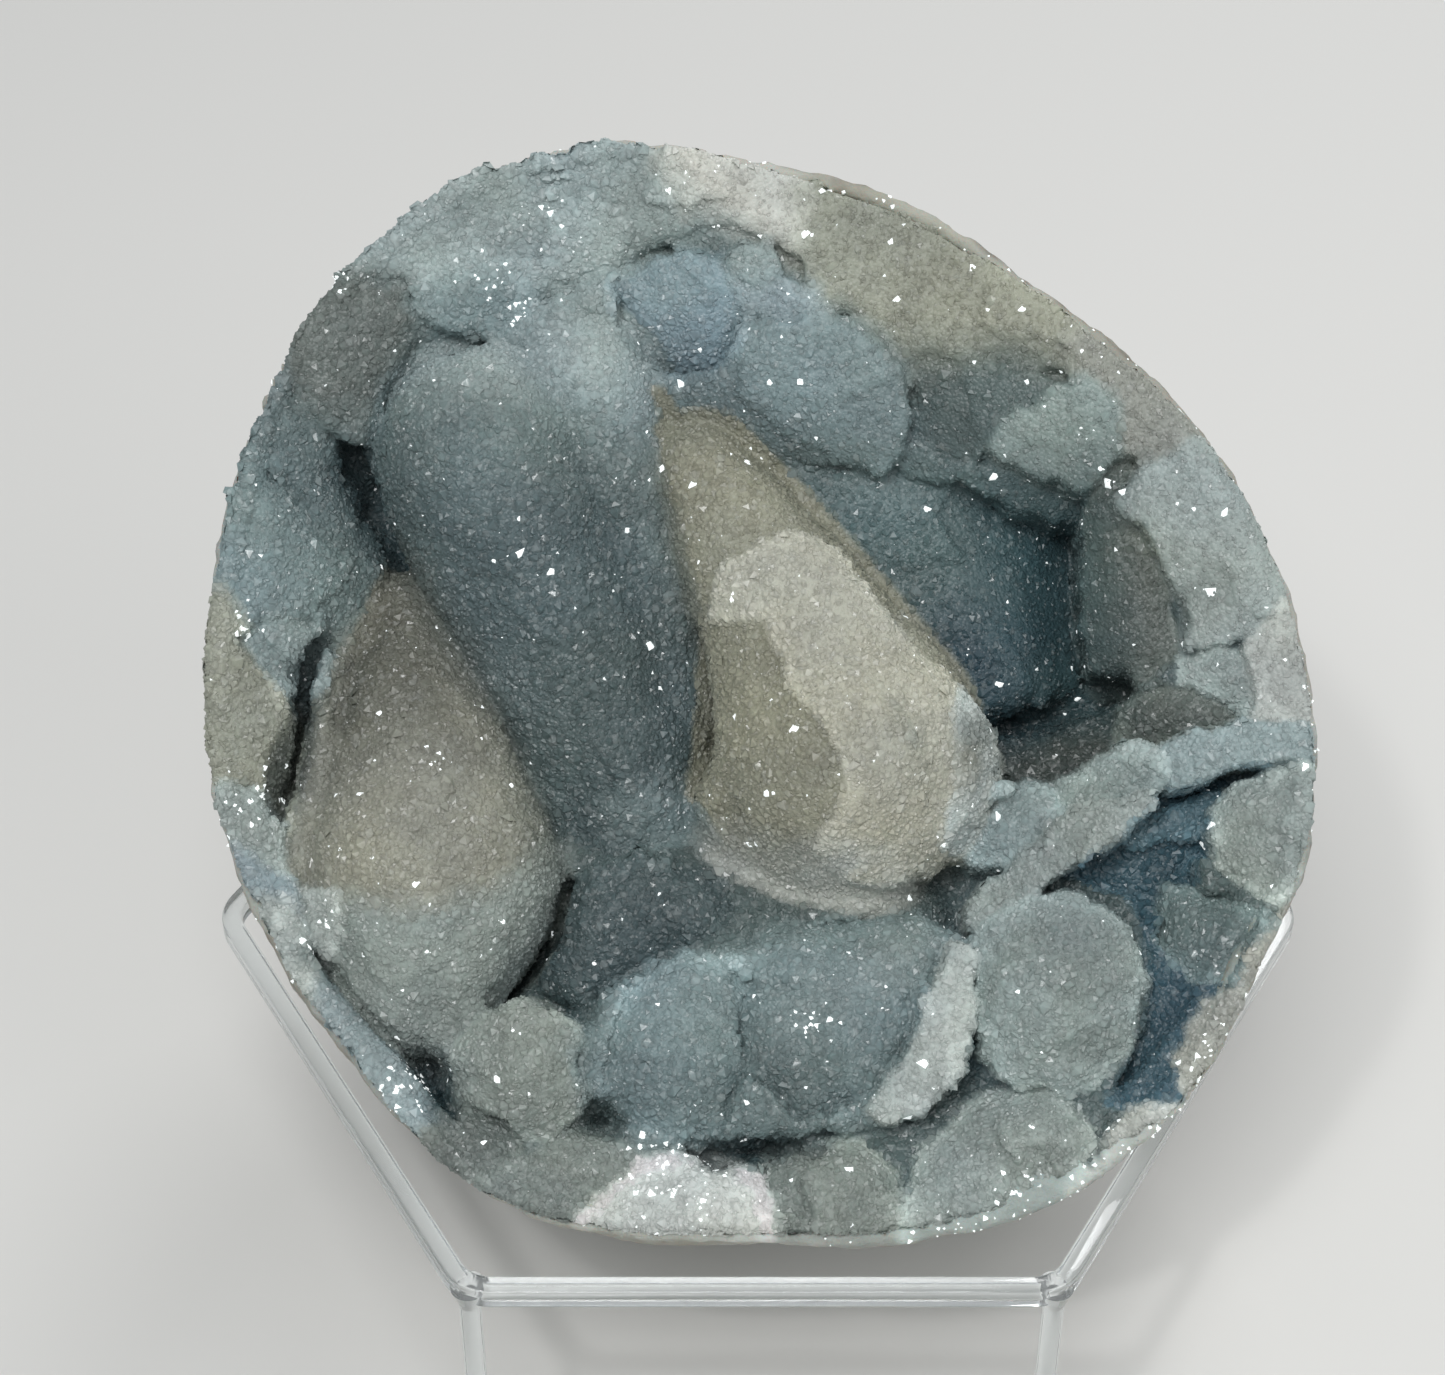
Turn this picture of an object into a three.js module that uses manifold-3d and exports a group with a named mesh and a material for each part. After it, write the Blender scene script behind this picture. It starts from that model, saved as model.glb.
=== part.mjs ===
// Half of a blue chalcedony nodule that leans back in a clear hexagonal ring stand.
// Millimetres, +Z up. The broken face with its hollow looks up and towards -Y.
// The stone is modelled in the face's own frame: x to the right, y up the face, z out of it,
// with its origin in the middle of the broken face.
import * as THREE from 'three';
import { mergeVertices } from 'three/addons/utils/BufferGeometryUtils.js';
import Module from 'manifold-3d';

const wasm = await Module();
wasm.setup();

// Driving dimensions of the stand
const ringSide = 66;          // side of the hexagon along the middle of the strip
const ringCorner = 5;         // bend at each corner, along the middle of the strip
const stripWidth = 2.6;
const stripHeight = 2.2;
const stripBevel = 0.5;
const ringLevel = 40;         // table to the middle of the strip
const legRadius = 1.25;
const legFlareRadius = 2.1;   // where a leg spreads into the ring
const legFlareHeight = 2.4;
const legNeckRadius = 1.5;    // halfway up the flare
const legCorners = [60, 120, 240, 300];   // degrees from +x; the two side corners have no leg
const gap = 0.3;              // left between pieces that touch

// Driving dimensions of the stone
const faceBack = 40;          // degrees that the face leans back from upright and away, 0 would be level
const faceCentre = [-0.45, -1.5, 40];   // from the middle of the ring
const depth = 69;             // face to the back of the dome
const backRadius = 66;        // the dome's outline grows round towards the back
const roundingPower = 0.38;   // how soon it does
const backFullness = 0.88;    // below 1 the dome is fuller than a half ball
const rindThin = 1.6;         // rind on the upper left
const rindThick = 4.2;        // rind on the lower right, where the broken edge is widest
const rindThickAt = -45;      // degrees round the face
// Radius of the face's edge every 15 degrees, from +x towards +y
const faceRadii = [
  63.6, 61.1, 58.9, 55.8, 56.2, 59.2, 62.1, 68.5, 72, 72.5, 69, 64.5,
  63.6, 63.4, 62.6, 62.5, 65.5, 64, 62, 65, 68, 68.8, 66.5, 66,
];

const bowlDepth = 26;         // the open bowl that the fingers stand in
const bowlLip = 1.2;          // filling left between the bowl and the rind

// Deeper hollows in the bowl, as the middle and the three half sizes
const hollows = [
  { at: [23.5, 18, -8], half: [19, 17, 29] },  // the deep cavity right of the centre
  { at: [42, 2, -18], half: [9, 4, 16] },      // the slit under the dark finger
  { at: [45, -17, -10], half: [12.5, 6.5, 18] },  // the blue pocket under the ledge
  { at: [50, -39, -6], half: [7.5, 11, 13] },  // the pocket right of the round finger end
  { at: [-46, 22, -14], half: [9, 12, 14] },   // the teal recess on the left
  { at: [-54, 2, -12], half: [5, 12, 12] },    // the crevice beside the left cone
];

// Tapered fingers with round ends, as the middle and radius of the root end and of the free end
const fingers = [
  { root: [-15, -12, -26], tip: [-33, 30, -13], radii: [14, 13] },      // long blue-grey finger
  { root: [-11, 2, -21], tip: [-21, 38, -14.5], radii: [9.5, 10] },     // its ridge on the right
  { root: [-6.7, 32, -21], tip: [12.3, -5, -13.2], radii: [4.8, 15.2] },   // centre cone, back
  { root: [2, 13, -11], tip: [8.6, -8, -9], radii: [6, 13] },           // centre cone, front
  { root: [-44.5, 8, -20], tip: [-39, -23, -13.2], radii: [5, 15.2] },  // left cone
  { root: [-39.5, -20, -16], tip: [-40.5, -31, -11.5], radii: [13, 11.6] },  // left cone, end
  { root: [-11, -45.5, -15], tip: [16.5, -33.5, -15.5], radii: [10, 10.6] },  // low bluish mass
  { root: [23.5, -32, -7], tip: [16, -46, -7], radii: [3.6, 3.4] },     // its pale broken edge
  { root: [30, -42, -24], tip: [35.6, -34.6, -10.7], radii: [9, 10.7] },   // round finger end
  { root: [47.5, 7, -17], tip: [45.5, 22, -15], radii: [7, 6] },        // dark finger
  { root: [26, -25, -9.5], tip: [34, -17, -8.5], radii: [3.6, 4] },     // ledge, left end
  { root: [34, -17, -8.5], tip: [43, -11, -8], radii: [4, 4.6] },
  { root: [43, -11, -8], tip: [52, -8, -8], radii: [4.6, 3.8] },
  { root: [52, -8, -8], tip: [63, -5, -7.5], radii: [3.8, 4.2] },       // ledge, right end
  { root: [-53, 43, -16], tip: [-45, 37, -16], radii: [9.5, 7.6] },     // brownish finger, upper left
];

// Rounded lumps, as the middle, the half sizes and a turn about z in degrees
const lumps = [
  // low middle
  { at: [-7, -26, -24], half: [19, 13, 16] },
  { at: [10, -28, -22], half: [15, 10, 14] },
  { at: [-20, -22, -21], half: [9, 10, 10] },
  { at: [-19, -35, -19], half: [10, 9, 11] },
  { at: [-27.4, -43, -11], half: [9, 9, 9.5] },
  { at: [-33, -52, -12], half: [8.5, 8, 9.5] },
  { at: [-21, -56, -13], half: [9, 8, 9] },
  { at: [-8, -58.5, -10], half: [13, 7, 10] },
  { at: [9, -57.5, -11], half: [11.5, 7.5, 9] },
  { at: [29.7, -53.5, -11.5], half: [11, 9, 10.5] },
  // upper right
  { at: [-9, 50, -18], half: [11, 10, 11] },
  { at: [4, 55, -15], half: [12, 9, 11] },
  { at: [4, 41, -21], half: [17, 8.5, 12], turn: -5 },
  { at: [20, 50, -14], half: [15, 10, 12], turn: -32 },
  { at: [31, 38, -20], half: [16, 11, 13.5], turn: -35 },
  { at: [41, 32, -14], half: [10, 8, 9.5], turn: -40 },
  // right
  { at: [54, 20, -12], half: [8, 11, 10], turn: -15 },
  { at: [58.5, 6, -12], half: [7.5, 9, 9.5] },
  { at: [50, -1, -14], half: [7, 5.6, 7] },
  { at: [38, -5, -21], half: [9, 6, 9] },
  { at: [29, -11, -19], half: [9, 8, 9] },
  { at: [42.9, -11, -8], half: [6, 5.2, 5.6] },
  { at: [60, -16, -10], half: [7, 8, 8] },
  { at: [55, -28, -12], half: [8.5, 7, 9] },
  // upper left
  { at: [-14, 59, -14], half: [12, 9, 11] },
  { at: [-33, 57, -14], half: [13, 10, 11.5], turn: 20 },
  { at: [-24.5, 49, -14], half: [10, 8, 9.5] },
  { at: [-48, 51, -15], half: [11, 9, 11], turn: 45 },
  // left
  { at: [-57, 33, -16], half: [10, 12, 13] },
  { at: [-51, 22, -20], half: [7, 8, 8] },
  { at: [-60, 18, -13], half: [8, 10, 10] },
  { at: [-61.5, 3, -12], half: [6, 9, 9] },
  { at: [-60.5, -10, -12], half: [7, 10, 9.5] },
  { at: [-55, -23, -11], half: [6, 8, 8] },
  { at: [-49.5, -35, -11], half: [6.5, 9, 8.5], turn: 30 },
  { at: [-42, -44.5, -11], half: [6, 8.5, 8.5], turn: 35 },
];

const fillingTop = -1.5;      // the filling's own edge, below the face
const blockSize = 160;        // wider and deeper than the stone
const faceCrown = 0.6;        // the broken edge is a little higher towards the middle
const roomAhead = 24;         // how far the lumps' room reaches in front of the face
const wallPower = 0.15;       // near 0 the room's walls in front of the face are upright
const lumpWave = 0.45;        // swell of the lumps' skin
const lumpWaveLength = 7.5;
const backWave = 1.1;         // swell of the nodule's outside
const backWaveLength = 19;
const rimWave = 1.6;          // rise and fall of the broken edge
const fewestFaces = 8;
const mostFaces = 14;
const endSteps = 3;           // bands of faces on a finger's round end
const bandLength = 10;        // and along its taper

// A small smooth swell between -1 and 1 that differs from place to place
function swell(point, length) {
  const k = (2 * Math.PI) / length;
  const a = Math.sin(k * (point.x + 0.6 * point.y) + 1.3);
  const b = Math.sin(k * (0.8 * point.y - 0.7 * point.z) + 4.1);
  const c = Math.sin(k * (0.9 * point.z + 0.5 * point.x) + 2.2);
  return (a + b + c) / 3;
}

// Geometry as a closed solid with its shared corners merged
function solidOf(geometry) {
  const bare = new THREE.BufferGeometry();
  bare.setAttribute('position', geometry.attributes.position);
  bare.setIndex(geometry.index);
  const merged = mergeVertices(bare, 1e-4);
  const corners = [];
  const index = merged.index.array;
  for (let i = 0; i < index.length; i += 3) {
    const [a, b, c] = [index[i], index[i + 1], index[i + 2]];
    if (a !== b && b !== c && c !== a) {
      corners.push(a, b, c);
    }
  }
  return new wasm.Manifold(new wasm.Mesh({
    numProp: 3,
    vertProperties: merged.attributes.position.array,
    triVerts: Uint32Array.from(corners),
  }));
}

function geometryOf(solid) {
  const mesh = solid.getMesh();
  const geometry = new THREE.BufferGeometry();
  geometry.setAttribute('position', new THREE.BufferAttribute(mesh.vertProperties, 3));
  geometry.setIndex(new THREE.BufferAttribute(mesh.triVerts, 1));
  geometry.computeVertexNormals();
  return geometry;
}

// Moves each corner of a geometry to the place that the rule gives for it
function moveCorners(geometry, rule) {
  const position = geometry.attributes.position;
  const point = new THREE.Vector3();
  for (let i = 0; i < position.count; i += 1) {
    point.fromBufferAttribute(position, i);
    rule(point);
    position.setXYZ(i, point.x, point.y, point.z);
  }
  return geometry;
}

// Swells a lump's skin about its middle
function swollen(geometry, middle) {
  return moveCorners(geometry, (point) => {
    const out = point.clone().sub(middle).normalize();
    point.addScaledVector(out, lumpWave * swell(point, lumpWaveLength));
  });
}

// Number of faces round a lump of a given radius, more on a larger one
function facesRound(radius) {
  return Math.round(THREE.MathUtils.clamp(4 + 0.6 * radius, fewestFaces, mostFaces));
}

function lumpSolid({ at, half, turn = 0 }) {
  const round = facesRound(Math.max(...half));
  const geometry = new THREE.SphereGeometry(1, round, Math.ceil(round * 0.6));
  geometry.rotateX(Math.PI / 2);
  geometry.scale(...half);
  geometry.rotateZ(THREE.MathUtils.degToRad(turn));
  geometry.translate(...at);
  return solidOf(swollen(geometry, new THREE.Vector3(...at)));
}

// A finger turned about its axis: a round end, a straight taper and a second round end
function fingerSolid({ root, tip, radii }) {
  const from = new THREE.Vector3(...root);
  const axis = new THREE.Vector3(...tip).sub(from);
  const length = axis.length();
  const lean = Math.asin((radii[0] - radii[1]) / length);
  const profile = [];
  for (let i = 0; i <= endSteps; i += 1) {
    const angle = THREE.MathUtils.lerp(-Math.PI / 2, lean, i / endSteps);
    profile.push(new THREE.Vector2(radii[0] * Math.cos(angle), radii[0] * Math.sin(angle)));
  }
  const bands = Math.round(length / bandLength);
  for (let i = 1; i <= bands; i += 1) {
    const start = profile[endSteps];
    const end = new THREE.Vector2(radii[1] * Math.cos(lean), length + radii[1] * Math.sin(lean));
    profile.push(start.clone().lerp(end, i / (bands + 1)));
  }
  for (let i = 0; i <= endSteps; i += 1) {
    const angle = THREE.MathUtils.lerp(lean, Math.PI / 2, i / endSteps);
    profile.push(new THREE.Vector2(radii[1] * Math.cos(angle), length + radii[1] * Math.sin(angle)));
  }
  profile[0].x = 0;
  profile[profile.length - 1].x = 0;
  const geometry = new THREE.LatheGeometry(profile, facesRound(Math.max(...radii)));
  geometry.applyQuaternion(new THREE.Quaternion().setFromUnitVectors(
    new THREE.Vector3(0, 1, 0),
    axis.clone().normalize(),
  ));
  geometry.translate(...root);
  const middle = from.addScaledVector(axis, 0.5);
  return solidOf(swollen(geometry, middle));
}

// Radius of the face's edge at an angle, eased between the listed radii
function edgeRadius(angle) {
  const count = faceRadii.length;
  const place = THREE.MathUtils.euclideanModulo(angle / (2 * Math.PI), 1) * count;
  const i = Math.floor(place);
  const t = place - i;
  const [before, here, next, after] = [-1, 0, 1, 2].map((k) => faceRadii[(i + k + count) % count]);
  const slopeHere = (next - before) / 2;
  const slopeNext = (after - here) / 2;
  return here + slopeHere * t
    + (3 * (next - here) - 2 * slopeHere - slopeNext) * t ** 2
    + (2 * (here - next) + slopeHere + slopeNext) * t ** 3;
}

function rindThickness(angle) {
  const turn = Math.cos(angle - THREE.MathUtils.degToRad(rindThickAt));
  return THREE.MathUtils.lerp(rindThin, rindThick, (1 + turn) / 2);
}

// A dome behind the face that follows its edge, shrunk all over by the inset at each angle.
// Ahead of the face it closes at the height given, with upright sides when wall is set.
function domeSolid({ inset, deep, ahead, wall, waves, round, bands }) {
  const geometry = new THREE.SphereGeometry(1, round, bands);
  geometry.rotateX(Math.PI / 2);
  moveCorners(geometry, (point) => {
    const ring = Math.hypot(point.x, point.y);
    const angle = Math.atan2(point.y, point.x);
    const shrink = inset(angle);
    const behind = point.z < 0;
    const spread = ring < 1e-6 ? 0 : ring ** (behind || !wall ? backFullness : wallPower);
    const roundness = behind ? (-point.z) ** roundingPower : 0;
    const edge = THREE.MathUtils.lerp(edgeRadius(angle), backRadius, roundness);
    const radius = (edge - shrink) * spread;
    const rim = rimWave * Math.sin(3 * angle + 0.6) * Math.sin(2 * angle - 0.4) * ring ** 4;
    const z = behind ? (deep - shrink) * point.z : ahead * point.z;
    point.set(radius * Math.cos(angle), radius * Math.sin(angle), z + rim);
    if (waves) {
      const out = new THREE.Vector3(point.x, point.y, behind ? point.z : 0).normalize();
      point.addScaledVector(out, backWave * swell(point, backWaveLength) * (behind ? 1 : 0.3));
    }
  });
  return solidOf(geometry);
}

const innerDome = { deep: depth, ahead: roomAhead, wall: true, waves: false, round: 28, bands: 10 };

// The nodule's outer skin: a bowl whose broken rim faces forward
function rindSolid() {
  const outer = domeSolid({
    inset: () => 0, deep: depth, ahead: faceCrown, wall: false, waves: true, round: 50, bands: 18,
  });
  const inner = domeSolid({ ...innerDome, inset: rindThickness });
  return outer.subtract(inner);
}

// What lines the hollow, as one solid: the filling with its hollows, and all that grows from it
function crustSolid() {
  const block = new THREE.BoxGeometry(blockSize, blockSize, blockSize);
  block.translate(0, 0, fillingTop - blockSize / 2);
  const bowlInset = (angle) => rindThickness(angle) + bowlLip;
  let filling = solidOf(block).subtract(domeSolid({ ...innerDome, inset: bowlInset, deep: bowlDepth }));
  for (const hollow of hollows) {
    filling = filling.subtract(lumpSolid(hollow));
  }
  for (const finger of fingers) {
    filling = filling.add(fingerSolid(finger));
  }
  for (const lump of lumps) {
    filling = filling.add(lumpSolid(lump));
  }
  const room = domeSolid({ ...innerDome, inset: (angle) => rindThickness(angle) + gap });
  return filling.intersect(room);
}

// A hexagon with round corners, whose corners lie on +X and -X
function roundHexagon(target, side, corner) {
  const inset = corner / Math.cos(Math.PI / 6);
  for (let k = 0; k < 6; k += 1) {
    const angle = (k * Math.PI) / 3;
    const x = (side - inset) * Math.cos(angle);
    const y = (side - inset) * Math.sin(angle);
    target.absarc(x, y, corner, angle - Math.PI / 6, angle + Math.PI / 6, false);
  }
  target.closePath();
  return target;
}

function ringGeometry() {
  const spread = stripWidth / 2 - stripBevel;
  const sideStep = spread / Math.cos(Math.PI / 6);
  const shape = roundHexagon(new THREE.Shape(), ringSide + sideStep, ringCorner + spread);
  shape.holes.push(roundHexagon(new THREE.Path(), ringSide - sideStep, ringCorner - spread));
  const geometry = new THREE.ExtrudeGeometry(shape, {
    depth: stripHeight - 2 * stripBevel,
    bevelThickness: stripBevel,
    bevelSize: stripBevel,
    bevelSegments: 1,
    curveSegments: 2,
  });
  geometry.translate(0, 0, stripBevel - stripHeight / 2);
  return geometryOf(solidOf(geometry));
}

// A leg below a corner, turned about its axis, with a flare where it meets the ring
function legGeometry() {
  const top = ringLevel - stripHeight / 2 - gap;
  const profile = [
    [0, 0],
    [legRadius, 0],
    [legRadius, top - legFlareHeight],
    [legNeckRadius, top - legFlareHeight / 2],
    [legFlareRadius, top],
    [0, top],
  ].map(([x, y]) => new THREE.Vector2(x, y));
  const geometry = new THREE.LatheGeometry(profile, 10);
  geometry.rotateX(Math.PI / 2);
  return geometryOf(solidOf(geometry));
}

const rindLook = new THREE.MeshStandardMaterial({ color: 0xa8a59a, roughness: 0.75, metalness: 0 });
const crustLook = new THREE.MeshStandardMaterial({ color: 0x83989f, roughness: 0.45, metalness: 0 });
const clearLook = new THREE.MeshStandardMaterial({
  color: 0xe6edef, roughness: 0.05, metalness: 0, transparent: true, opacity: 0.4,
});

function named(name, geometry, material) {
  const mesh = new THREE.Mesh(geometry, material);
  mesh.name = name;
  return mesh;
}

function makeStone() {
  const stone = new THREE.Group();
  stone.add(named('rind', geometryOf(rindSolid()), rindLook));
  stone.add(named('crust', geometryOf(crustSolid()), crustLook));
  stone.rotation.x = THREE.MathUtils.degToRad(faceBack);
  stone.position.set(faceCentre[0], faceCentre[1], faceCentre[2] + ringLevel);
  return stone;
}

function makeStand() {
  const stand = new THREE.Group();
  const ring = named('stand_ring', ringGeometry(), clearLook);
  ring.position.z = ringLevel;
  stand.add(ring);
  const reach = ringSide - ringCorner * (1 / Math.cos(Math.PI / 6) - 1);
  legCorners.forEach((corner, k) => {
    const angle = THREE.MathUtils.degToRad(corner);
    const leg = named(`stand_leg_${k + 1}`, legGeometry(), clearLook);
    leg.position.set(reach * Math.cos(angle), reach * Math.sin(angle), 0);
    stand.add(leg);
  });
  return stand;
}

// The whole thing, moved so that the middle of its footprint is at the origin
const object = new THREE.Group();
object.add(makeStand(), makeStone());
object.updateMatrixWorld(true);
const box = new THREE.Box3().setFromObject(object, true);
const middle = box.getCenter(new THREE.Vector3());
object.position.set(-middle.x, -middle.y, -box.min.z);

export default object;
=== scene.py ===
"""Half of a blue chalcedony nodule, its hollow full of sugary fingers, in a clear ring stand.

The stone is shaped as distances on a grid, in millimetres, in the broken face's own frame:
x to the right, y up the face, z out of it. Every mesh ends up in metres in the part's frame.
"""
import math
from itertools import product

import bpy
import numpy as np
import openvdb
from mathutils import Matrix, Vector


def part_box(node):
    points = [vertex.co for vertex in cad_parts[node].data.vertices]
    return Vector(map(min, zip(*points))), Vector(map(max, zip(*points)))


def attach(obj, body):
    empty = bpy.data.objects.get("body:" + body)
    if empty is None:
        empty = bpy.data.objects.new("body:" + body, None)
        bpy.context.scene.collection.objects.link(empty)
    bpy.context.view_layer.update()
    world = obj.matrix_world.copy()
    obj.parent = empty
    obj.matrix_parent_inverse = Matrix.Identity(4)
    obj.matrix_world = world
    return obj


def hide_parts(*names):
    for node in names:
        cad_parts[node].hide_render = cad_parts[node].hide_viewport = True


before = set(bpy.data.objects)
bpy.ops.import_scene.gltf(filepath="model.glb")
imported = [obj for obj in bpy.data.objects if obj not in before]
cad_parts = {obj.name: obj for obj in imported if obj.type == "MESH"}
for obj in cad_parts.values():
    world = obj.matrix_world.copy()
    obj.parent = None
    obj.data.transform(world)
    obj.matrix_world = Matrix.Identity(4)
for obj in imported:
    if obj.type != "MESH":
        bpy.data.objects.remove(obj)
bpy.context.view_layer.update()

MM = 0.001

# The stone's place, as in the solids
FACE_BACK = math.radians(40)
FACE_CENTRE = Vector((-0.45, -1.5, 40.0))
RING_LOW, RING_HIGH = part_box("stand_ring")
RING_MIDDLE = (Vector(RING_LOW) + Vector(RING_HIGH)) / 2
FACE_ORIGIN = RING_MIDDLE + FACE_CENTRE * MM
FACE_TURN = Matrix.Rotation(FACE_BACK, 3, "X")

# The nodule's form, as in the solids
DEPTH = 69.0
BACK_RADIUS = 66.0
ROUNDING_POWER = 0.38
BACK_FULLNESS = 0.88
RIND_THIN = 0.9
RIND_THICK = 3.6
RIND_THICK_AT = math.radians(-45)
TOUCH = 0.25
FILLING_TOP = -1.5
GROUND_RIM = -2.2
BOWL_DEPTH = 26.0
BOWL_LIP = 1.2
RIM_WAVE = 1.6
WALL = 2.4
WALL_TOP = -0.9

# How fast the crust between the plates falls away from the rim, and how far the crust covers the
# rind's edge, both every 30 degrees from the right, anticlockwise
GROUND_FALLS = np.array([0.09, 0.1, 0.09, 0.08, 0.1, 0.14, 0.14, 0.1, 0.1, 0.09, 0.09, 0.08])
RIM_COVER = np.array([1, 1, 0.9, 1, 1, 1, 1, 1, 1, 0.9, 0.5, 0.8])
COVER_DEEP = 2.4

# The broken face's radius every 15 degrees, in the same order
FACE_RADII = np.array([
    63.6, 61.1, 58.9, 55.8, 56.2, 59.2, 62.1, 68.5, 72, 72.5, 69, 64.5,
    63.6, 63.4, 62.6, 62.5, 65.5, 64, 62, 65, 68, 68.8, 66.5, 66,
])

# Colours of the chalcedony as the eye reads them, 0 to 255. Dark, cleft, night and dark_grey are painted
# shade for the gaps, slits and the deep hollow; shade and deep_teal are painted shade there too, and also
# the darker tone of some lumps and faces
TINTS = {
    "frost": (208, 216, 211),
    "snow": (206, 210, 203),
    "pale": (192, 204, 200),
    "soft_pale": (186, 193, 187),
    "mint": (138, 155, 153),
    "pale_blue": (172, 190, 190),
    "haze": (157, 176, 181),
    "blue": (147, 171, 180),
    "pool": (86, 113, 123),
    "blue_grey": (150, 168, 168),
    "steel": (132, 152, 154),
    "slate": (114, 133, 134),
    "deep_slate": (84, 101, 103),
    "teal": (88, 110, 112),
    "deep_teal": (66, 94, 99),
    "dark": (34, 52, 56),
    "cleft": (46, 68, 72),
    "dark_grey": (68, 76, 72),
    "deep_blue": (66, 96, 109),
    "night": (50, 76, 87),
    "cream_light": (190, 192, 176),
    "cream": (158, 160, 146),
    "khaki": (157, 159, 141),
    "olive": (163, 168, 153),
    "grey": (154, 167, 163),
    "warm_grey": (136, 147, 142),
    "brown_grey": (113, 122, 117),
    "brown": (97, 105, 99),
    "umber": (110, 112, 102),
    "shade": (92, 109, 109),
    "beige": (172, 177, 169),
    "silver": (160, 173, 170),
    "sage": (142, 157, 155),
    "skin_grey": (150, 155, 148),
}

# Gaps between the faces: middle, half sizes, turn about z in degrees, colour of their walls, which is
# painted shade
HOLLOWS = [
    ((35.5, -0.6, -17), (11, 2.4, 9), 16, "dark"),
    ((-43.5, 19, -12), (14, 2.6, 12), -64, "cleft"),
    ((-14, 33, -14), (5, 2, 7), -55, "deep_teal"),
    ((-54, -4.5, -9), (11, 1.5, 8), 80, "dark"),
    ((-46.5, -35.5, -10), (12, 1.4, 8), -47, "shade"),
    ((-37.5, -45, -9), (7, 1.8, 8), -75, "cleft"),
    ((-18.4, -49.6, -7), (2.8, 2.2, 6), 20, "shade"),
    ((-25, -35.2, -8), (3.4, 1.2, 6), -30, "cleft"),
    ((-1, -53.4, -7), (6, 1.0, 6), 8, "cleft"),
    ((-27, -31, -12), (12, 1.5, 9), 58, "shade"),
]

# Fingers: the middle of the root and of the tip, the two radii, how softly it joins, the colour
FINGERS = [
    ((-15, -12, -26), (-33, 30, -13), (14, 13), 0.7, "slate"),
    ((-11, 0, -21.5), (-20.5, 39, -14.5), (8.5, 9.5), 1.0, "steel"),
    ((-6.3, 28, -13), (12, -5.4, -13.2), (6.2, 14.7), 0.7, "khaki"),
    ((2, 13, -11), (8.6, -8, -9), (6, 13), 1.5, "cream"),
    ((5, 14, -16), (15.6, -8.4, -13), (6, 12), 1.5, "cream"),
    ((1.5, -13, -14), (12, -16, -13), (8.6, 9), 2.5, "cream"),
    ((-42.6, 10, -19), (-38.6, -21.5, -12.6), (6.4, 15.4), 0.7, "cream"),
    ((-39.5, -20, -16), (-39.5, -31.5, -11.5), (13, 10.4), 3.0, "grey"),
]

# Lumps low in the hollow: middle, half sizes, turn about z in degrees, colour
LUMPS = [
    ((-7, -26, -24), (19, 13, 16), 0, "shade"),
    ((10, -28, -22), (15, 10, 14), 0, "shade"),
    ((-20, -22, -21), (9, 10, 10), 0, "shade"),
    ((-19, -33, -17), (9, 9, 11), 0, "shade"),
    ((38, -5, -21), (9, 6, 9), 0, "shade"),
    ((29, -11, -17), (9, 8, 9), 0, "slate"),
    ((33, -40, -24), (20, 16, 12), 0, "deep_blue"),
    ((45, -14, -22), (8, 5, 8), 0, "slate"),
    ((-42, 27, -22), (9, 9, 9), 0, "deep_teal"),
]

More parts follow.
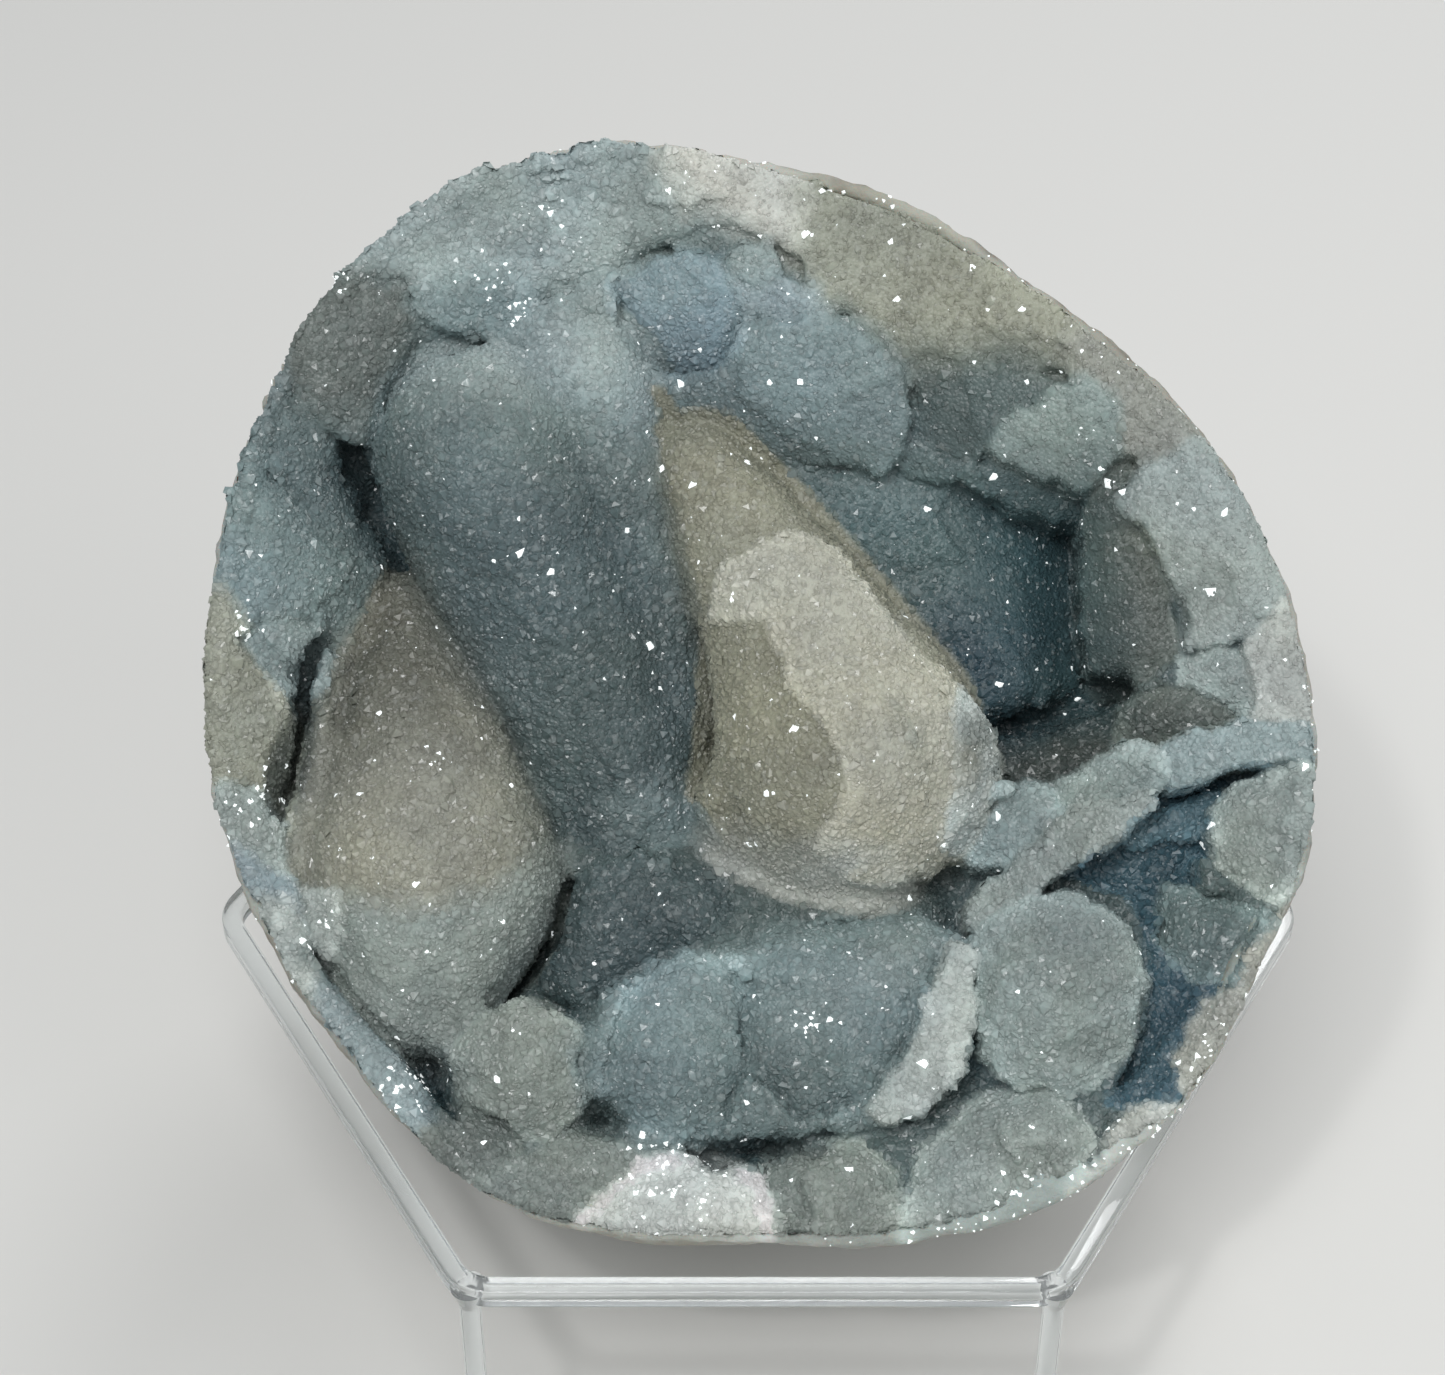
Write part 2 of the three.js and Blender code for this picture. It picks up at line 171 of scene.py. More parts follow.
# Broad broken faces that make up the rest: colour, height at the rim, how fast it falls away from
# the rim, how far its edge is rounded off, how softly its colour ends, its outline across the face
PLATES = {
    "upper shelf": ("blue_grey", -5, 0, 3, 2.5, [
        (-30, 45), (-25, 49), (-17, 53), (-10.5, 54), (-12, 47), (-16, 43.5), (-24, 42),
        (-30, 42.5),
    ]),
    "upper left slope": ("pale_blue", -0.8, 0.1, 0.3, 3, [
        (-66, 47), (-60, 58), (-40, 72), (-10, 76), (-7, 63), (-2.5, 56), (-11, 55), (-17, 51),
        (-27, 48), (-36.5, 46.5), (-40, 45.5), (-41.5, 48.5), (-49.5, 49.5), (-56, 47),
    ]),
    "pale top": ("snow", -0.6, 0.07, 0.2, 2.5, [
        (-12, 76), (12, 70), (10, 62), (9, 57), (5, 52.5), (-1, 55.5), (-8, 59), (-10.5, 63),
    ]),
    "olive top": ("olive", -0.6, 0.08, 0.2, 2.5, [
        (7, 66), (34, 60), (44, 44), (38, 37), (30, 40), (22, 39), (18, 36), (15, 42), (11, 45.5),
        (7.5, 46), (6, 49.5), (5.5, 53),
    ]),
    "grey top right": ("shade", -0.9, 0.09, 0.2, 4.0, [
        (19, 39.5), (23, 39), (30, 39.5), (36, 36), (32, 34), (28, 31), (26, 28), (22, 27),
        (17.5, 28), (19, 35),
    ]),
    "right skin": ("skin_grey", -0.3, 0.06, 0.2, 1.5, [
        (37, 41), (42, 48), (60, 36), (55, 27), (47.5, 26.5), (42.5, 28), (41, 32), (38, 36),
    ]),
    "pale lobe": ("steel", 0.3, 0.055, 1.6, 2.0, [
        (-2, 44), (0.5, 45.3), (5, 45.8), (10.5, 45), (15.5, 41.5), (18, 37), (18.5, 32), (17, 29),
        (14, 27.5), (8, 28.3), (2, 29.5), (-4.5, 32), (-9, 34), (-12.5, 36.5), (-13.5, 40),
        (-9, 39.5), (-4.5, 40.3),
    ]),
    "blue lobe": ("blue", 0.6, 0.08, 2.2, 1.4, [
        (-17, 49), (-14, 52), (-9, 53), (-4, 52.5), (-2, 49), (-1.8, 45), (-3, 42), (-5, 40.5),
        (-9, 39.5), (-12.5, 40.8), (-16, 43),
    ]),
    "upper small lobe": ("blue_grey", 0, 0.07, 0.6, 1.0, [
        (-3.7, 52), (-1.7, 53.5), (1.2, 53), (2.7, 50.8), (1.7, 48.8), (-0.6, 48.2), (-2.7, 49.4),
    ]),
    "lobe gap": ("haze", -0.8, 0.07, 0.2, 1.6, [
        (-2.2, 49), (-0.6, 48.2), (2, 48.6), (4.6, 49.4), (6.6, 47.8), (7, 45.7), (4.6, 45.4),
        (0.6, 45.2), (-1.4, 43.8),
    ]),
    "mint patch": ("mint", 0, 0.09, 0.3, 0.8, [
        (27.5, 29.5), (32.5, 33.2), (36.5, 36), (38.5, 36.5), (41.8, 33), (42.3, 28.6), (41.4, 25),
        (38, 24.2), (34.7, 26), (31, 27.5),
    ]),
    "brown end": ("brown", -0.6, 0.1, 2.4, 0.35, [
        (39.3, 24), (41, 26.2), (44, 27), (42.8, 22.8), (45.7, 19.4), (48.4, 14.2), (49.6, 8.4),
        (49.8, 4.9), (48, 3.2), (45, 1.6), (42, 1.8), (39.8, 4), (38.8, 10), (39.2, 17),
    ]),
    "mint face": ("silver", -0.4, 0.07, 0.4, 0.35, [
        (42.4, 22.8), (45, 25.6), (52, 29), (62, 27), (69, 8), (67, 2), (60, 2), (57, 6), (54, 5),
        (50, 4.5), (49.6, 10), (48.3, 14.7), (45.7, 19.4), (43, 21.6),
    ]),
    "right small lobe": ("grey", -0.4, 0.09, 2, 0.35, [
        (49.8, 4.3), (53.8, 5.6), (58.4, 4.5), (61, -0.3), (57, -3), (52.6, 0), (49.7, 1),
    ]),
    "dark small lobe": ("brown", -0.8, 0.09, 2.6, 0.35, [
        (43.2, -1.4), (45, 0.4), (48.6, 1), (52.6, -0.2), (56, -2.6), (54.3, -4.8), (49.7, -5.8),
        (45, -6.4), (43.2, -4.3),
    ]),
    "right pale face": ("soft_pale", -0.3, 0.06, 0.4, 0.35, [
        (56, 5), (62, 10), (70, 9), (70, -4), (61.5, -4.6), (57.6, -3.4), (57.4, 1.5),
    ]),
    "pocket floor": ("deep_blue", -11, 0, 1.5, 0.35, [
        (32, -21), (38, -15), (47, -11), (59, -7), (60, -11), (57, -19), (52, -20), (50, -27),
        (53, -35), (48, -49), (40, -48), (46, -40), (46, -30), (43, -24), (38, -21),
    ]),
    "pocket lumps": ("pool", -7.5, 0, 2.0, 0.35, [
        (42, -15), (48, -13), (55, -10), (56, -14), (50, -17), (44, -18),
    ]),
    "side pocket": ("deep_blue", -6, 0, 1.0, 1.0, [
        (45, -27), (48, -25), (52.5, -33), (52.5, -37), (47, -48), (41, -47), (44.5, -41),
        (46, -35),
    ]),
    "ledge start": ("blue_grey", 1.4, 0.05, 2.0, 0.5, [
        (24.5, -14), (27, -10.8), (32.4, -10), (35.5, -11.8), (37, -15), (34, -18), (29, -21.5),
        (25, -20),
    ]),
    "ledge strip": ("blue_grey", 0.2, 0.06, 0.4, 0.35, [
        (47, -7), (49, -5), (56, -4), (70, -4), (70, -8), (62, -8.5), (55.5, -9.5), (50.5, -12),
        (47.5, -12.5),
    ]),
    "ledge lump": ("sage", 1.6, 0.05, 2.6, 0.35, [
        (36.5, -9.5), (40.5, -6.5), (45, -6), (48, -8), (48, -12), (43, -15), (38, -15),
        (36, -12.5),
    ]),
    "lower strip": ("silver", 2.0, 0.05, 0.4, 0.35, [
        (24.4, -24.6), (27, -21.6), (31.4, -17.6), (36, -13.8), (42, -12), (46.5, -10.8),
        (47, -13.6), (43, -16.2), (37.4, -19.4), (32.6, -23.4), (28.6, -27.2), (25, -27.4),
    ]),
    "right lobe": ("grey", -0.1, 0.07, 3, 0.35, [
        (55, -10), (61, -9), (70, -8.5), (70, -20), (64, -22.5), (59.5, -25.5), (55.5, -23.5),
        (53, -20), (53, -15.5),
    ]),
    "right low lobe": ("slate", -0.8, 0.11, 4, 0.35, [
        (46.5, -24), (48, -21.5), (55.5, -24), (61, -27.5), (57.5, -32), (54, -34.5), (50, -33.5),
        (47, -30.5),
    ]),
    "right low rim": ("beige", -0.8, 0.12, 0.6, 0.35, [
        (59.5, -26), (65, -22), (70, -26), (62, -44), (52, -53), (48, -47), (47.5, -43), (51, -36),
        (54, -34.5),
    ]),
    "round end": ("sage", 0.8, 0.01, 5, 0.35, [
        (25, -29), (27, -26), (33, -23.5), (40, -24), (44, -28), (45, -34), (43, -41.5),
        (37.5, -46.5), (30, -46), (25.5, -41.5),
    ]),
    "low brown lump": ("warm_grey", 0.4, 0.06, 4.5, 0.35, [
        (0.5, -53), (5, -51), (12, -51.5), (17, -55), (17, -70), (0, -70),
    ]),
    "low right lump": ("grey", 0.6, 0.05, 5, 0.35, [
        (16, -58), (20.5, -51), (26, -46.5), (33, -46), (38, -48.5), (39, -52.5), (36, -58),
        (34, -70), (16, -70),
    ]),
    "beige band": ("soft_pale", -0.2, 0.05, 0.8, 0.35, [
        (34, -70), (35.5, -57), (39, -52), (42.5, -48.5), (48, -47), (58, -52), (46, -66),
    ]),
    "middle lump": ("deep_slate", -5.5, 0, 4, 1.0, [
        (-24.6, -25), (-21.4, -20.9), (-14, -18.8), (-7, -20.9), (-3, -24.6), (-4.6, -29),
        (-11.6, -30.3), (-17.3, -34.4), (-20, -40), (-23.1, -37.3), (-25, -31.5),
    ]),
    "left round lump": ("warm_grey", 0.6, 0, 5, 0.35, [
        (-35.5, -43), (-33.7, -38.3), (-29.2, -35.4), (-24, -35.6), (-19.8, -38.6), (-18, -43.5),
        (-18.8, -48.6), (-23.4, -52.2), (-29, -52), (-34, -48.5),
    ]),
    "low plane": ("warm_grey", -0.8, 0.1, 1.6, 0.8, [
        (-40, -62), (-32, -57), (-21.5, -50.5), (-14, -50.5), (-10, -53), (-14, -55.5), (-20, -60),
        (-24, -72),
    ]),
    "left low lump": ("brown_grey", -0.6, 0.09, 3.5, 0.35, [
        (-46, -54), (-38, -49.5), (-34, -47), (-30, -49.5), (-26, -52), (-28, -55), (-36, -60),
    ]),
    "white bottom": ("frost", 0.5, 0.08, 3, 0.6, [
        (-24, -72), (-20.5, -60), (-14, -55), (-10, -53), (-5, -53), (0.5, -56), (3, -72),
    ]),
    "mass": ("steel", 0.2, 0.03, 3, 1.5, [
        (-20.5, -41.5), (-17, -35), (-10, -31), (0, -30), (8, -30), (15.5, -28.5), (20, -26),
        (24.5, -30), (21, -38), (17, -45), (13, -50), (4, -52), (-11, -52), (-18.5, -49.5),
    ]),
    "mass left lobe": ("steel", 1.2, 0.03, 4.5, 0.6, [
        (-18.5, -46), (-17.4, -40), (-15.4, -34.5), (-12, -31), (-7, -29.2), (-2, -31), (0.8, -36),
        (-0.5, -44), (-4, -50), (-9, -51.2), (-14.5, -49.6),
    ]),
    "mass right lobe": ("steel", 1.5, 0.03, 4.5, 1.2, [
        (1, -28), (9, -26.2), (19.5, -26.2), (23.6, -30), (20, -36), (17, -42), (12, -47),
        (5, -48.5), (-0.5, -45), (-1.5, -36),
    ]),
    "strip": ("pale", -0.9, 0.02, 0.4, 0.35, [
        (12.3, -48.6), (15.8, -44.2), (18, -39.6), (20.2, -34.4), (22.8, -29.6), (25.2, -30.2),
        (25.4, -36), (24.6, -41), (22.3, -45.8), (19, -49), (14, -49.8),
    ]),
    "left rim": ("olive", -0.8, 0.1, 1.4, 0.35, [
        (-72, 13), (-61, 13), (-57.5, 6), (-55, 0), (-53, -6), (-53.5, -12), (-54, -17),
        (-72, -10),
    ]),
    "left crystals": ("grey", -0.4, 0.08, 1.8, 0.35, [
        (-72, -9), (-62, -10.5), (-57.5, -11), (-54.5, -16), (-54, -22), (-62, -18),
    ]),
    "left foot band": ("haze", -0.9, 0.11, 0.8, 0.8, [
        (-72, -12), (-62, -18), (-54, -22.5), (-52, -28), (-46.5, -32), (-43, -37), (-39, -42),
        (-38, -49), (-44, -56), (-66, -44),
    ]),
    "left foot crystals": ("pale", -0.4, 0.1, 1.2, 0.8, [
        (-62, -23), (-54, -25.5), (-50.5, -31), (-51.5, -38), (-62, -36),
    ]),
    "teal plane": ("steel", -1.2, 0.16, 0.6, 2.0, [
        (-72, 40), (-62, 42), (-56, 44), (-54, 35), (-48.5, 29), (-46, 22), (-44.5, 15), (-47, 12),
        (-55, 24), (-72, 27),
    ]),
    "left facet": ("steel", -0.8, 0.16, 0.8, 1.0, [
        (-72, 27), (-62, 26.5), (-55, 24.5), (-50, 16), (-47, 12), (-52, 6), (-54, 0), (-58, 6),
        (-61, 13), (-72, 14),
    ]),
    "left low teal": ("blue_grey", -2, 0.13, 0.5, 0.5, [
        (-60, 6), (-56, 10), (-50.5, 9), (-49.5, 5), (-51.5, 1), (-54, -1), (-57.5, 2),
    ]),
    "brown finger": ("brown_grey", 0, 0.1, 2.4, 2, [
        (-70, 52), (-62, 46.5), (-56, 47), (-50, 50), (-41.5, 49), (-40, 45), (-43, 40.5),
        (-45, 35.5), (-45.5, 28), (-54, 34.5), (-56.5, 43), (-72, 44),
    ]),
    "pocket": ("steel", -1.6, 0.08, 0.2, 2, [
        (-40, 47), (-36.5, 49), (-31, 50), (-27.5, 48), (-31.5, 43.5), (-38.5, 45),
    ]),
}

# Broad faces deep in the right hollow: colour, the planes that bound them above, each as a point and
# its rise along x and y, how softly the colour ends, the outline
SLOPES = {
    "hollow back": ("teal", [((14, 24, -12), (-0.06, 0.12)), ((33, 14, -17.5), (-0.8, -0.1))], 1.5, [
        (-2, 33), (4, 30.5), (8, 29), (14, 28.4), (18, 28.6), (22, 28), (26, 26.5), (32, 27),
        (38, 26), (40, 20), (40, 10), (41, 3.5), (44, 1), (40, -2), (30, -3), (18, -6), (8, 10),
        (0, 22),
    ]),
    "hollow ceiling": ("teal", [((33, 26, -8), (-0.1, 0.5))], 1.5, [
        (25, 27.5), (29, 28.8), (34, 28.5), (38, 26), (39.5, 22.5), (36.5, 21.8), (32, 23),
        (28, 25),
    ]),
    # The slit's foot is coloured dark grey, a painted shade
    "slit foot": ("dark_grey", [((36, -6, -12), (0.25, -0.6))], 1.0, [
        (26, -3.5), (32.5, -3.2), (39.5, -1.8), (44.5, 0), (45.5, -4), (42, -7.5), (38, -9.5),
        (35, -12), (31, -11), (26, -11),
    ]),
}

# Coloured zones and thin broken layers on the fingers, and zones on the broad faces, some of them painted
# shade and painted light: colour, how far it stands proud, how soft its edge is, its outline across the face
PATCHES = {
    "finger tip": ("pale_blue", 0, 5.0, [
        (-48, 38), (-42, 46), (-33, 47), (-24, 52), (-12, 48), (-14, 36), (-30, 37),
    ]),
    "finger belly": ("deep_slate", 0, 6.0, [
        (-46, 26), (-30, 22), (-14, 26), (-8, 8), (-7, -14), (-8, -26), (-24, -24), (-26, -4),
    ]),
    "finger toe": ("steel", 0, 3.0, [
        (-16, -13), (-11, -10.5), (-5.8, -9.5), (-5.2, -19), (-7, -22), (-14, -21),
    ]),
    "cone back": ("khaki", 0, 0.35, [
        (-12, 37), (-6, 10), (-4, 14), (0, 17.5), (5, 19.5), (9, 25), (5, 33), (-2, 37.5),
    ]),
    "cone left": ("khaki", 0, 0.35, [
        (-6.5, 14), (-7.5, -11), (-2.5, -19), (6.5, -16.5), (10.5, -12), (8, -6), (4, 0), (3, 3.5),
        (1.5, 8), (-3, 8.5), (-5.5, 10),
    ]),
    "lobe foot": ("slate", 0, 4.0, [
        (-14, 36.5), (-4.6, 35.5), (4.6, 34), (14, 31), (19, 31), (17, 26), (2, 27), (-12, 33),
    ]),
    "cone light": ("cream_light", 0.9, 0.35, [
        (-6, 9), (-4, 13.6), (0, 17), (4.6, 19), (9.2, 17), (13, 12), (17.5, 6), (22.5, 1),
        (30, -6), (30, -12), (26, -18), (20, -21.5), (12, -21.5), (7, -19), (8, -16.5),
        (10.5, -12), (8, -6), (4, 0), (3, 3.5), (1.5, 8), (-3, 8.5),
    ]),
    "cone foot": ("soft_pale", 0, 2.5, [
        (-6, -16), (2, -19.5), (10, -19), (20, -21.5), (17, -27), (2, -27), (-7, -23),
    ]),
    "cone right": ("pale", 0.3, 0.5, [
        (24, 0), (30, -5), (31, -12), (27, -18), (22, -18), (24, -8),
    ]),
    "left cone tip": ("umber", 0, 5.0, [
        (-52, 4), (-44, 16), (-36, 4), (-34, -6), (-42, -4), (-50, -6),
    ]),
    "left cone foot": ("grey", 0, 2.0, [
        (-54, -24.5), (-46, -25.5), (-39, -26), (-31, -24), (-23, -19), (-20, -28), (-26, -38),
        (-36, -48), (-45, -42), (-53, -32),
    ]),
    "left cone corner": ("pale", 0.4, 0.35, [
        (-54, -24), (-49, -24.5), (-48, -28), (-50, -31), (-53, -28),
    ]),
    # Painted shade and painted light on the broad faces: darker towards the left gap and deep in the right
    # hollow, lighter on the mass's ridge and darker below it
    "left shade": ("slate", 0, 4.0, [
        (-58, 33), (-47, 32), (-43, 16), (-46, 6), (-50, 10), (-54, 18), (-60, 24),
    ]),
    "hollow right": ("deep_teal", 0, 5.0, [
        (29, 22), (39, 24), (41, 10), (42, 0), (34, 0), (31, 10),
    ]),
    "hollow low": ("night", 0, 5.0, [(18, 4), (22, 10), (31, 8), (32, -2), (24, -4)]),
    "mass light": ("blue_grey", 0, 2.5, [
        (2, -39), (8, -34), (15, -29.5), (19, -27.5), (20, -30), (13, -35.5), (6, -41), (1, -43),
    ]),
    "mass shade": ("slate", 0, 4.0, [
        (-20, -41), (-8, -42), (4, -40), (12, -37), (16, -42), (11, -48), (0, -51), (-14, -50),
    ]),
}

# A face whose colour ends more softly than this reaches that far over its neighbours
CRISP = 0.7
OVERLAP = 0.5

# The zones that lie on the broad faces, not on the fingers
ON_PLATES = ("lobe foot", "mass shade", "mass light", "left shade", "hollow right", "hollow low")

# How high the broken layers of the crust stand on each other, and how much their tones differ, on the
# fingers and on the faces behind them
LAYER_HEIGHT = 0.38
FINGER_TONE = 0.04
FACE_TONE = 0.07

# The painted glow of light through the thin edge of a face or a layer: how much paler, how far in, and its
# share where it is soft
EDGE_GLOW = 1.3
GLOW_REACH = 1.1
SOFT_GLOW = 0.2
LAYER_GLOW = 0.3

# How far the colour of a finger or a lump reaches beyond it, and the weight of the painted shade that fills
# the gaps elsewhere
TINT_REACH = 0.9
REST_WEIGHT = 0.02


# Noise and forms, on arrays of points in millimetres

def cell_hash(cell, seed):
    """A number from 0 to 4095 for each cell of a lattice."""
    mixed = cell[:, 0] * 73856093 ^ cell[:, 1] * 19349663 ^ cell[:, 2] * 83492791
    return (mixed + seed * 2654435761) & 4095


def soft_noise(points, length, seed):
    """Smooth noise from -1 to 1."""
    place = points / length
    cell = np.floor(place).astype(np.int64)
    t = place - cell
    t = t * t * (3 - 2 * t)
    table = np.random.default_rng(seed).uniform(-1, 1, 4096)
    total = np.zeros(len(points))
    for corner in product((0, 1), repeat=3):
        weight = np.prod(np.where(np.array(corner) == 1, t, 1 - t), axis=1)
        total += weight * table[cell_hash(cell + corner, seed)]
    return total


def grains(points, size, seed):
    """Round grains packed over space: 1 on a grain's top, falling to 0 between grains."""
    place = points / size
    cell = np.floor(place).astype(np.int64)
    table = np.random.default_rng(seed).uniform(0, 1, (4096, 3))
    nearest = np.full(len(points), 9.0)
    for step in product((-1, 0, 1), repeat=3):
        other = cell + step
        away = place - other - table[cell_hash(other, seed)]
        nearest = np.minimum(nearest, np.einsum("ij,ij->i", away, away))
    return np.clip(1 - nearest / 0.7, 0, 1)


def around(values, angle):
    """A value listed at even steps round the face, eased between them."""
    count = len(values)
    place = (angle / (2 * math.pi)) % 1 * count
    i = np.floor(place).astype(int)
    t = place - i
    before, here, after, last = [values[(i + k) % count] for k in (-1, 0, 1, 2)]
    slope = (after - before) / 2
    next_slope = (last - here) / 2
    return (
        here + slope * t
        + (3 * (after - here) - 2 * slope - next_slope) * t ** 2
        + (2 * (here - after) + slope + next_slope) * t ** 3
    )


def angle_of(points):
    """The direction of each point across the face, from the right, anticlockwise."""
    return np.arctan2(points[:, 1], points[:, 0])


def edge_radius(angle):
    return around(FACE_RADII, angle)


def rind_thickness(angle):
    return RIND_THIN + (RIND_THICK - RIND_THIN) * (1 + np.cos(angle - RIND_THICK_AT)) / 2


def rim_rise(angle):
    return RIM_WAVE * np.sin(3 * angle + 0.6) * np.sin(2 * angle - 0.4)


def dome(points, inset, deep):
    """Distance to the dome behind the face, whose walls go straight on in front of it."""
    radius = np.hypot(points[:, 0], points[:, 1])
    angle = angle_of(points)
    shrink = inset(angle)
    down = np.clip(-points[:, 2] / (deep - shrink), 0, None)
    edge = edge_radius(angle)
    edge = edge + (BACK_RADIUS - edge) * np.clip(down, 0, 1) ** ROUNDING_POWER - shrink
    reach = np.hypot((radius / edge) ** (1 / BACK_FULLNESS), down)
    return (reach - 1) * np.minimum(edge, deep)


def ellipsoid(points, middle, half, turn=0):
    away = points - np.array(middle, float)
    if turn:
        c, s = math.cos(math.radians(turn)), math.sin(math.radians(turn))
        away = np.stack([
            c * away[:, 0] + s * away[:, 1],
            c * away[:, 1] - s * away[:, 0],
            away[:, 2],
        ], axis=1)
    scaled = away / np.array(half, float)
    near = np.linalg.norm(scaled, axis=1)
    slope = np.linalg.norm(scaled / np.array(half, float), axis=1)
    return near * (near - 1) / np.maximum(slope, 1e-6)


def round_cone(points, root, tip, radii):
    """Distance to a taper with two round ends."""
    a, b = np.array(root, float), np.array(tip, float)
    r1, r2 = radii
    axis = b - a
    l2 = axis @ axis
    rr = r1 - r2
    a2 = l2 - rr * rr
    away = points - a
    y = away @ axis
    z = y - l2
    side = away * l2 - y[:, None] * axis
    x2 = np.einsum("ij,ij->i", side, side)
    y2 = y * y * l2
    z2 = z * z * l2
    k = np.sign(rr) * rr * rr * x2
    beyond = np.sign(z) * a2 * z2 > k
    before = np.sign(y) * a2 * y2 < k
    taper = (np.sqrt(x2 * a2 / l2) + y * rr) / l2 - r1
    return np.where(beyond, np.sqrt(x2 + z2) / l2 - r2, np.where(before, np.sqrt(x2 + y2) / l2 - r1, taper))


def flakes(points, size, seed):
    """A steady number from -1 to 1 for each flake of a broken layer."""
    place = points / size
    cell = np.floor(place).astype(np.int64)
    table = np.random.default_rng(seed).uniform(0, 1, (4096, 4))
    nearest = np.full(len(points), 9.0)
    value = np.zeros(len(points))
    for step in product((-1, 0, 1), repeat=3):
        code = cell_hash(cell + step, seed)
        away = place - cell - step - table[code, :3]
        gap = np.einsum("ij,ij->i", away, away)
        value = np.where(gap < nearest, table[code, 3], value)
        nearest = np.minimum(nearest, gap)
    return value * 2 - 1


def layer_steps(points):
    """Crisp low steps where one layer of the crust ends on the next."""
    bend = [soft_noise(points, 2.2, k) + soft_noise(points, 6, k + 3) for k in (51, 52, 53)]
    return flakes(points + np.stack(bend, axis=1), 9, 54)


def inside(points, outline):
    """Distance from the outline's edge across the face, positive inside it."""
    place = points[:, :2]
    corners = np.array(outline, float)
    nearest = np.full(len(place), 1e9)
    within = np.zeros(len(place), bool)
    for a, b in zip(corners, np.roll(corners, -1, axis=0)):
        along = b - a
        share = np.clip((place - a) @ along / (along @ along), 0, 1)
        nearest = np.minimum(nearest, np.linalg.norm(place - a - share[:, None] * along, axis=1))
        crosses = (a[1] > place[:, 1]) != (b[1] > place[:, 1])
        rise = along[1] if along[1] else 1e-9
        within ^= crosses & (place[:, 0] < a[0] + along[0] * (place[:, 1] - a[1]) / rise)
    return np.where(within, nearest, -nearest)


def ragged(points, outline, blend=1.0):
    """Distance inside an outline whose edge is scalloped, the same at every depth."""
    flat = np.column_stack([points[:, :2], np.zeros(len(points))])
    reach = OVERLAP if blend > CRISP else 0
    return reach + inside(flat, outline) + 0.6 * soft_noise(flat, 1.7, 41) + 0.6 * soft_noise(flat, 5, 42)


def soft_step(within, soft):
    """1 inside an edge and 0 outside, over a band of that half width."""
    return np.clip(0.5 + within / (2 * soft), 0, 1)


def fading(within, reach):
    """1 at an edge, fading with the distance inside it."""
    return np.exp(-np.clip(within, 0, None) / reach)


def soft_join(a, b, soft):
    close = np.clip(soft - np.abs(a - b), 0, None) / soft
    return np.minimum(a, b) - close * close * soft / 4


def soft_cut(a, b, soft):
    return -soft_join(-a, b, soft)


class Grid:
    """Distances at the corners of a grid over a block of the face's frame."""

    def __init__(self, low, high, step):
        self.low = np.array(low, float)
        self.step = step
        self.count = np.ceil((np.array(high, float) - self.low) / step).astype(int) + 1
        self.values = np.full(self.count, 9.0, np.float32)

    def window(self, low, high):
        first = np.clip(np.floor((np.array(low) - self.low) / self.step).astype(int), 0, self.count)
        last = np.clip(np.ceil((np.array(high) - self.low) / self.step).astype(int) + 1, 0, self.count)
        return tuple(slice(a, b) for a, b in zip(first, last))

    def points(self, window):
        axes = [self.low[k] + self.step * np.arange(window[k].start, window[k].stop) for k in range(3)]
        return np.stack(np.meshgrid(*axes, indexing="ij"), axis=-1).reshape(-1, 3)

    def change(self, low, high, rule):
        """Gives the block between two corners new distances: rule(points, old distances)."""
        window = self.window(low, high)
        old = self.values[window]
        new = rule(self.points(window), old.reshape(-1).astype(float))
        self.values[window] = new.reshape(old.shape)

    def change_near(self, places, reach, rule):
        """Changes the block that holds all within reach of the places."""
        places = np.array(places, float)
        self.change(places.min(0) - reach, places.max(0) + reach, rule)

    def near_surface(self, reach, rule):
        """Adds rule(points) to the distances that are within reach of the surface."""
        where = np.argwhere(np.abs(self.values) < reach)
        points = self.low + where * self.step
        self.values[tuple(where.T)] += rule(points).astype(np.float32)

    def mesh(self):
        """The surface as (points, four-cornered faces)."""
        band = 3 * self.step
        tree = openvdb.FloatGrid(band)
        tree.copyFromArray(np.clip(self.values, -band, band).astype(np.float32))
        points, faces = tree.convertToQuads(0.0)
        return points.astype(float) * self.step + self.low, faces.astype(np.int64)


def linear(red, green, blue):
    """A colour as the eye reads it, 0 to 255, as linear shares of light."""
    share = np.array([red, green, blue]) / 255
    return np.where(share <= 0.04045, share / 12.92, ((share + 0.055) / 1.055) ** 2.4)


def colour(name):
    return linear(*TINTS[name])


def to_part(points):
    """Face frame in millimetres to the part's frame in metres."""
    turn = np.array(FACE_TURN)
    return points @ turn.T * MM + np.array(FACE_ORIGIN)


def make_object(name, points, faces):
    """A mesh object from arrays, with its place in its mesh."""
    mesh = bpy.data.meshes.new(name)
    corners = faces.shape[1]
    mesh.vertices.add(len(points))
    mesh.vertices.foreach_set("co", points.astype(np.float32).ravel())
    mesh.loops.add(faces.size)
    mesh.loops.foreach_set("vertex_index", faces.astype(np.int32).ravel())
    mesh.polygons.add(len(faces))
    mesh.polygons.foreach_set("loop_start", np.arange(0, faces.size, corners, dtype=np.int32))
    mesh.update(calc_edges=True)
    mesh.validate()
    thing = bpy.data.objects.new(name, mesh)
    bpy.context.scene.collection.objects.link(thing)
    return thing


def add_attribute(thing, name, values):
    """A number or a colour on each vertex."""
    if values.ndim == 1:
        attribute = thing.data.attributes.new(name, "FLOAT", "POINT")
        attribute.data.foreach_set("value", values.astype(np.float32))
    else:
        attribute = thing.data.attributes.new(name, "FLOAT_COLOR", "POINT")
        rgba = np.concatenate([values, np.ones((len(values), 1))], axis=1)
        attribute.data.foreach_set("color", rgba.astype(np.float32).ravel())


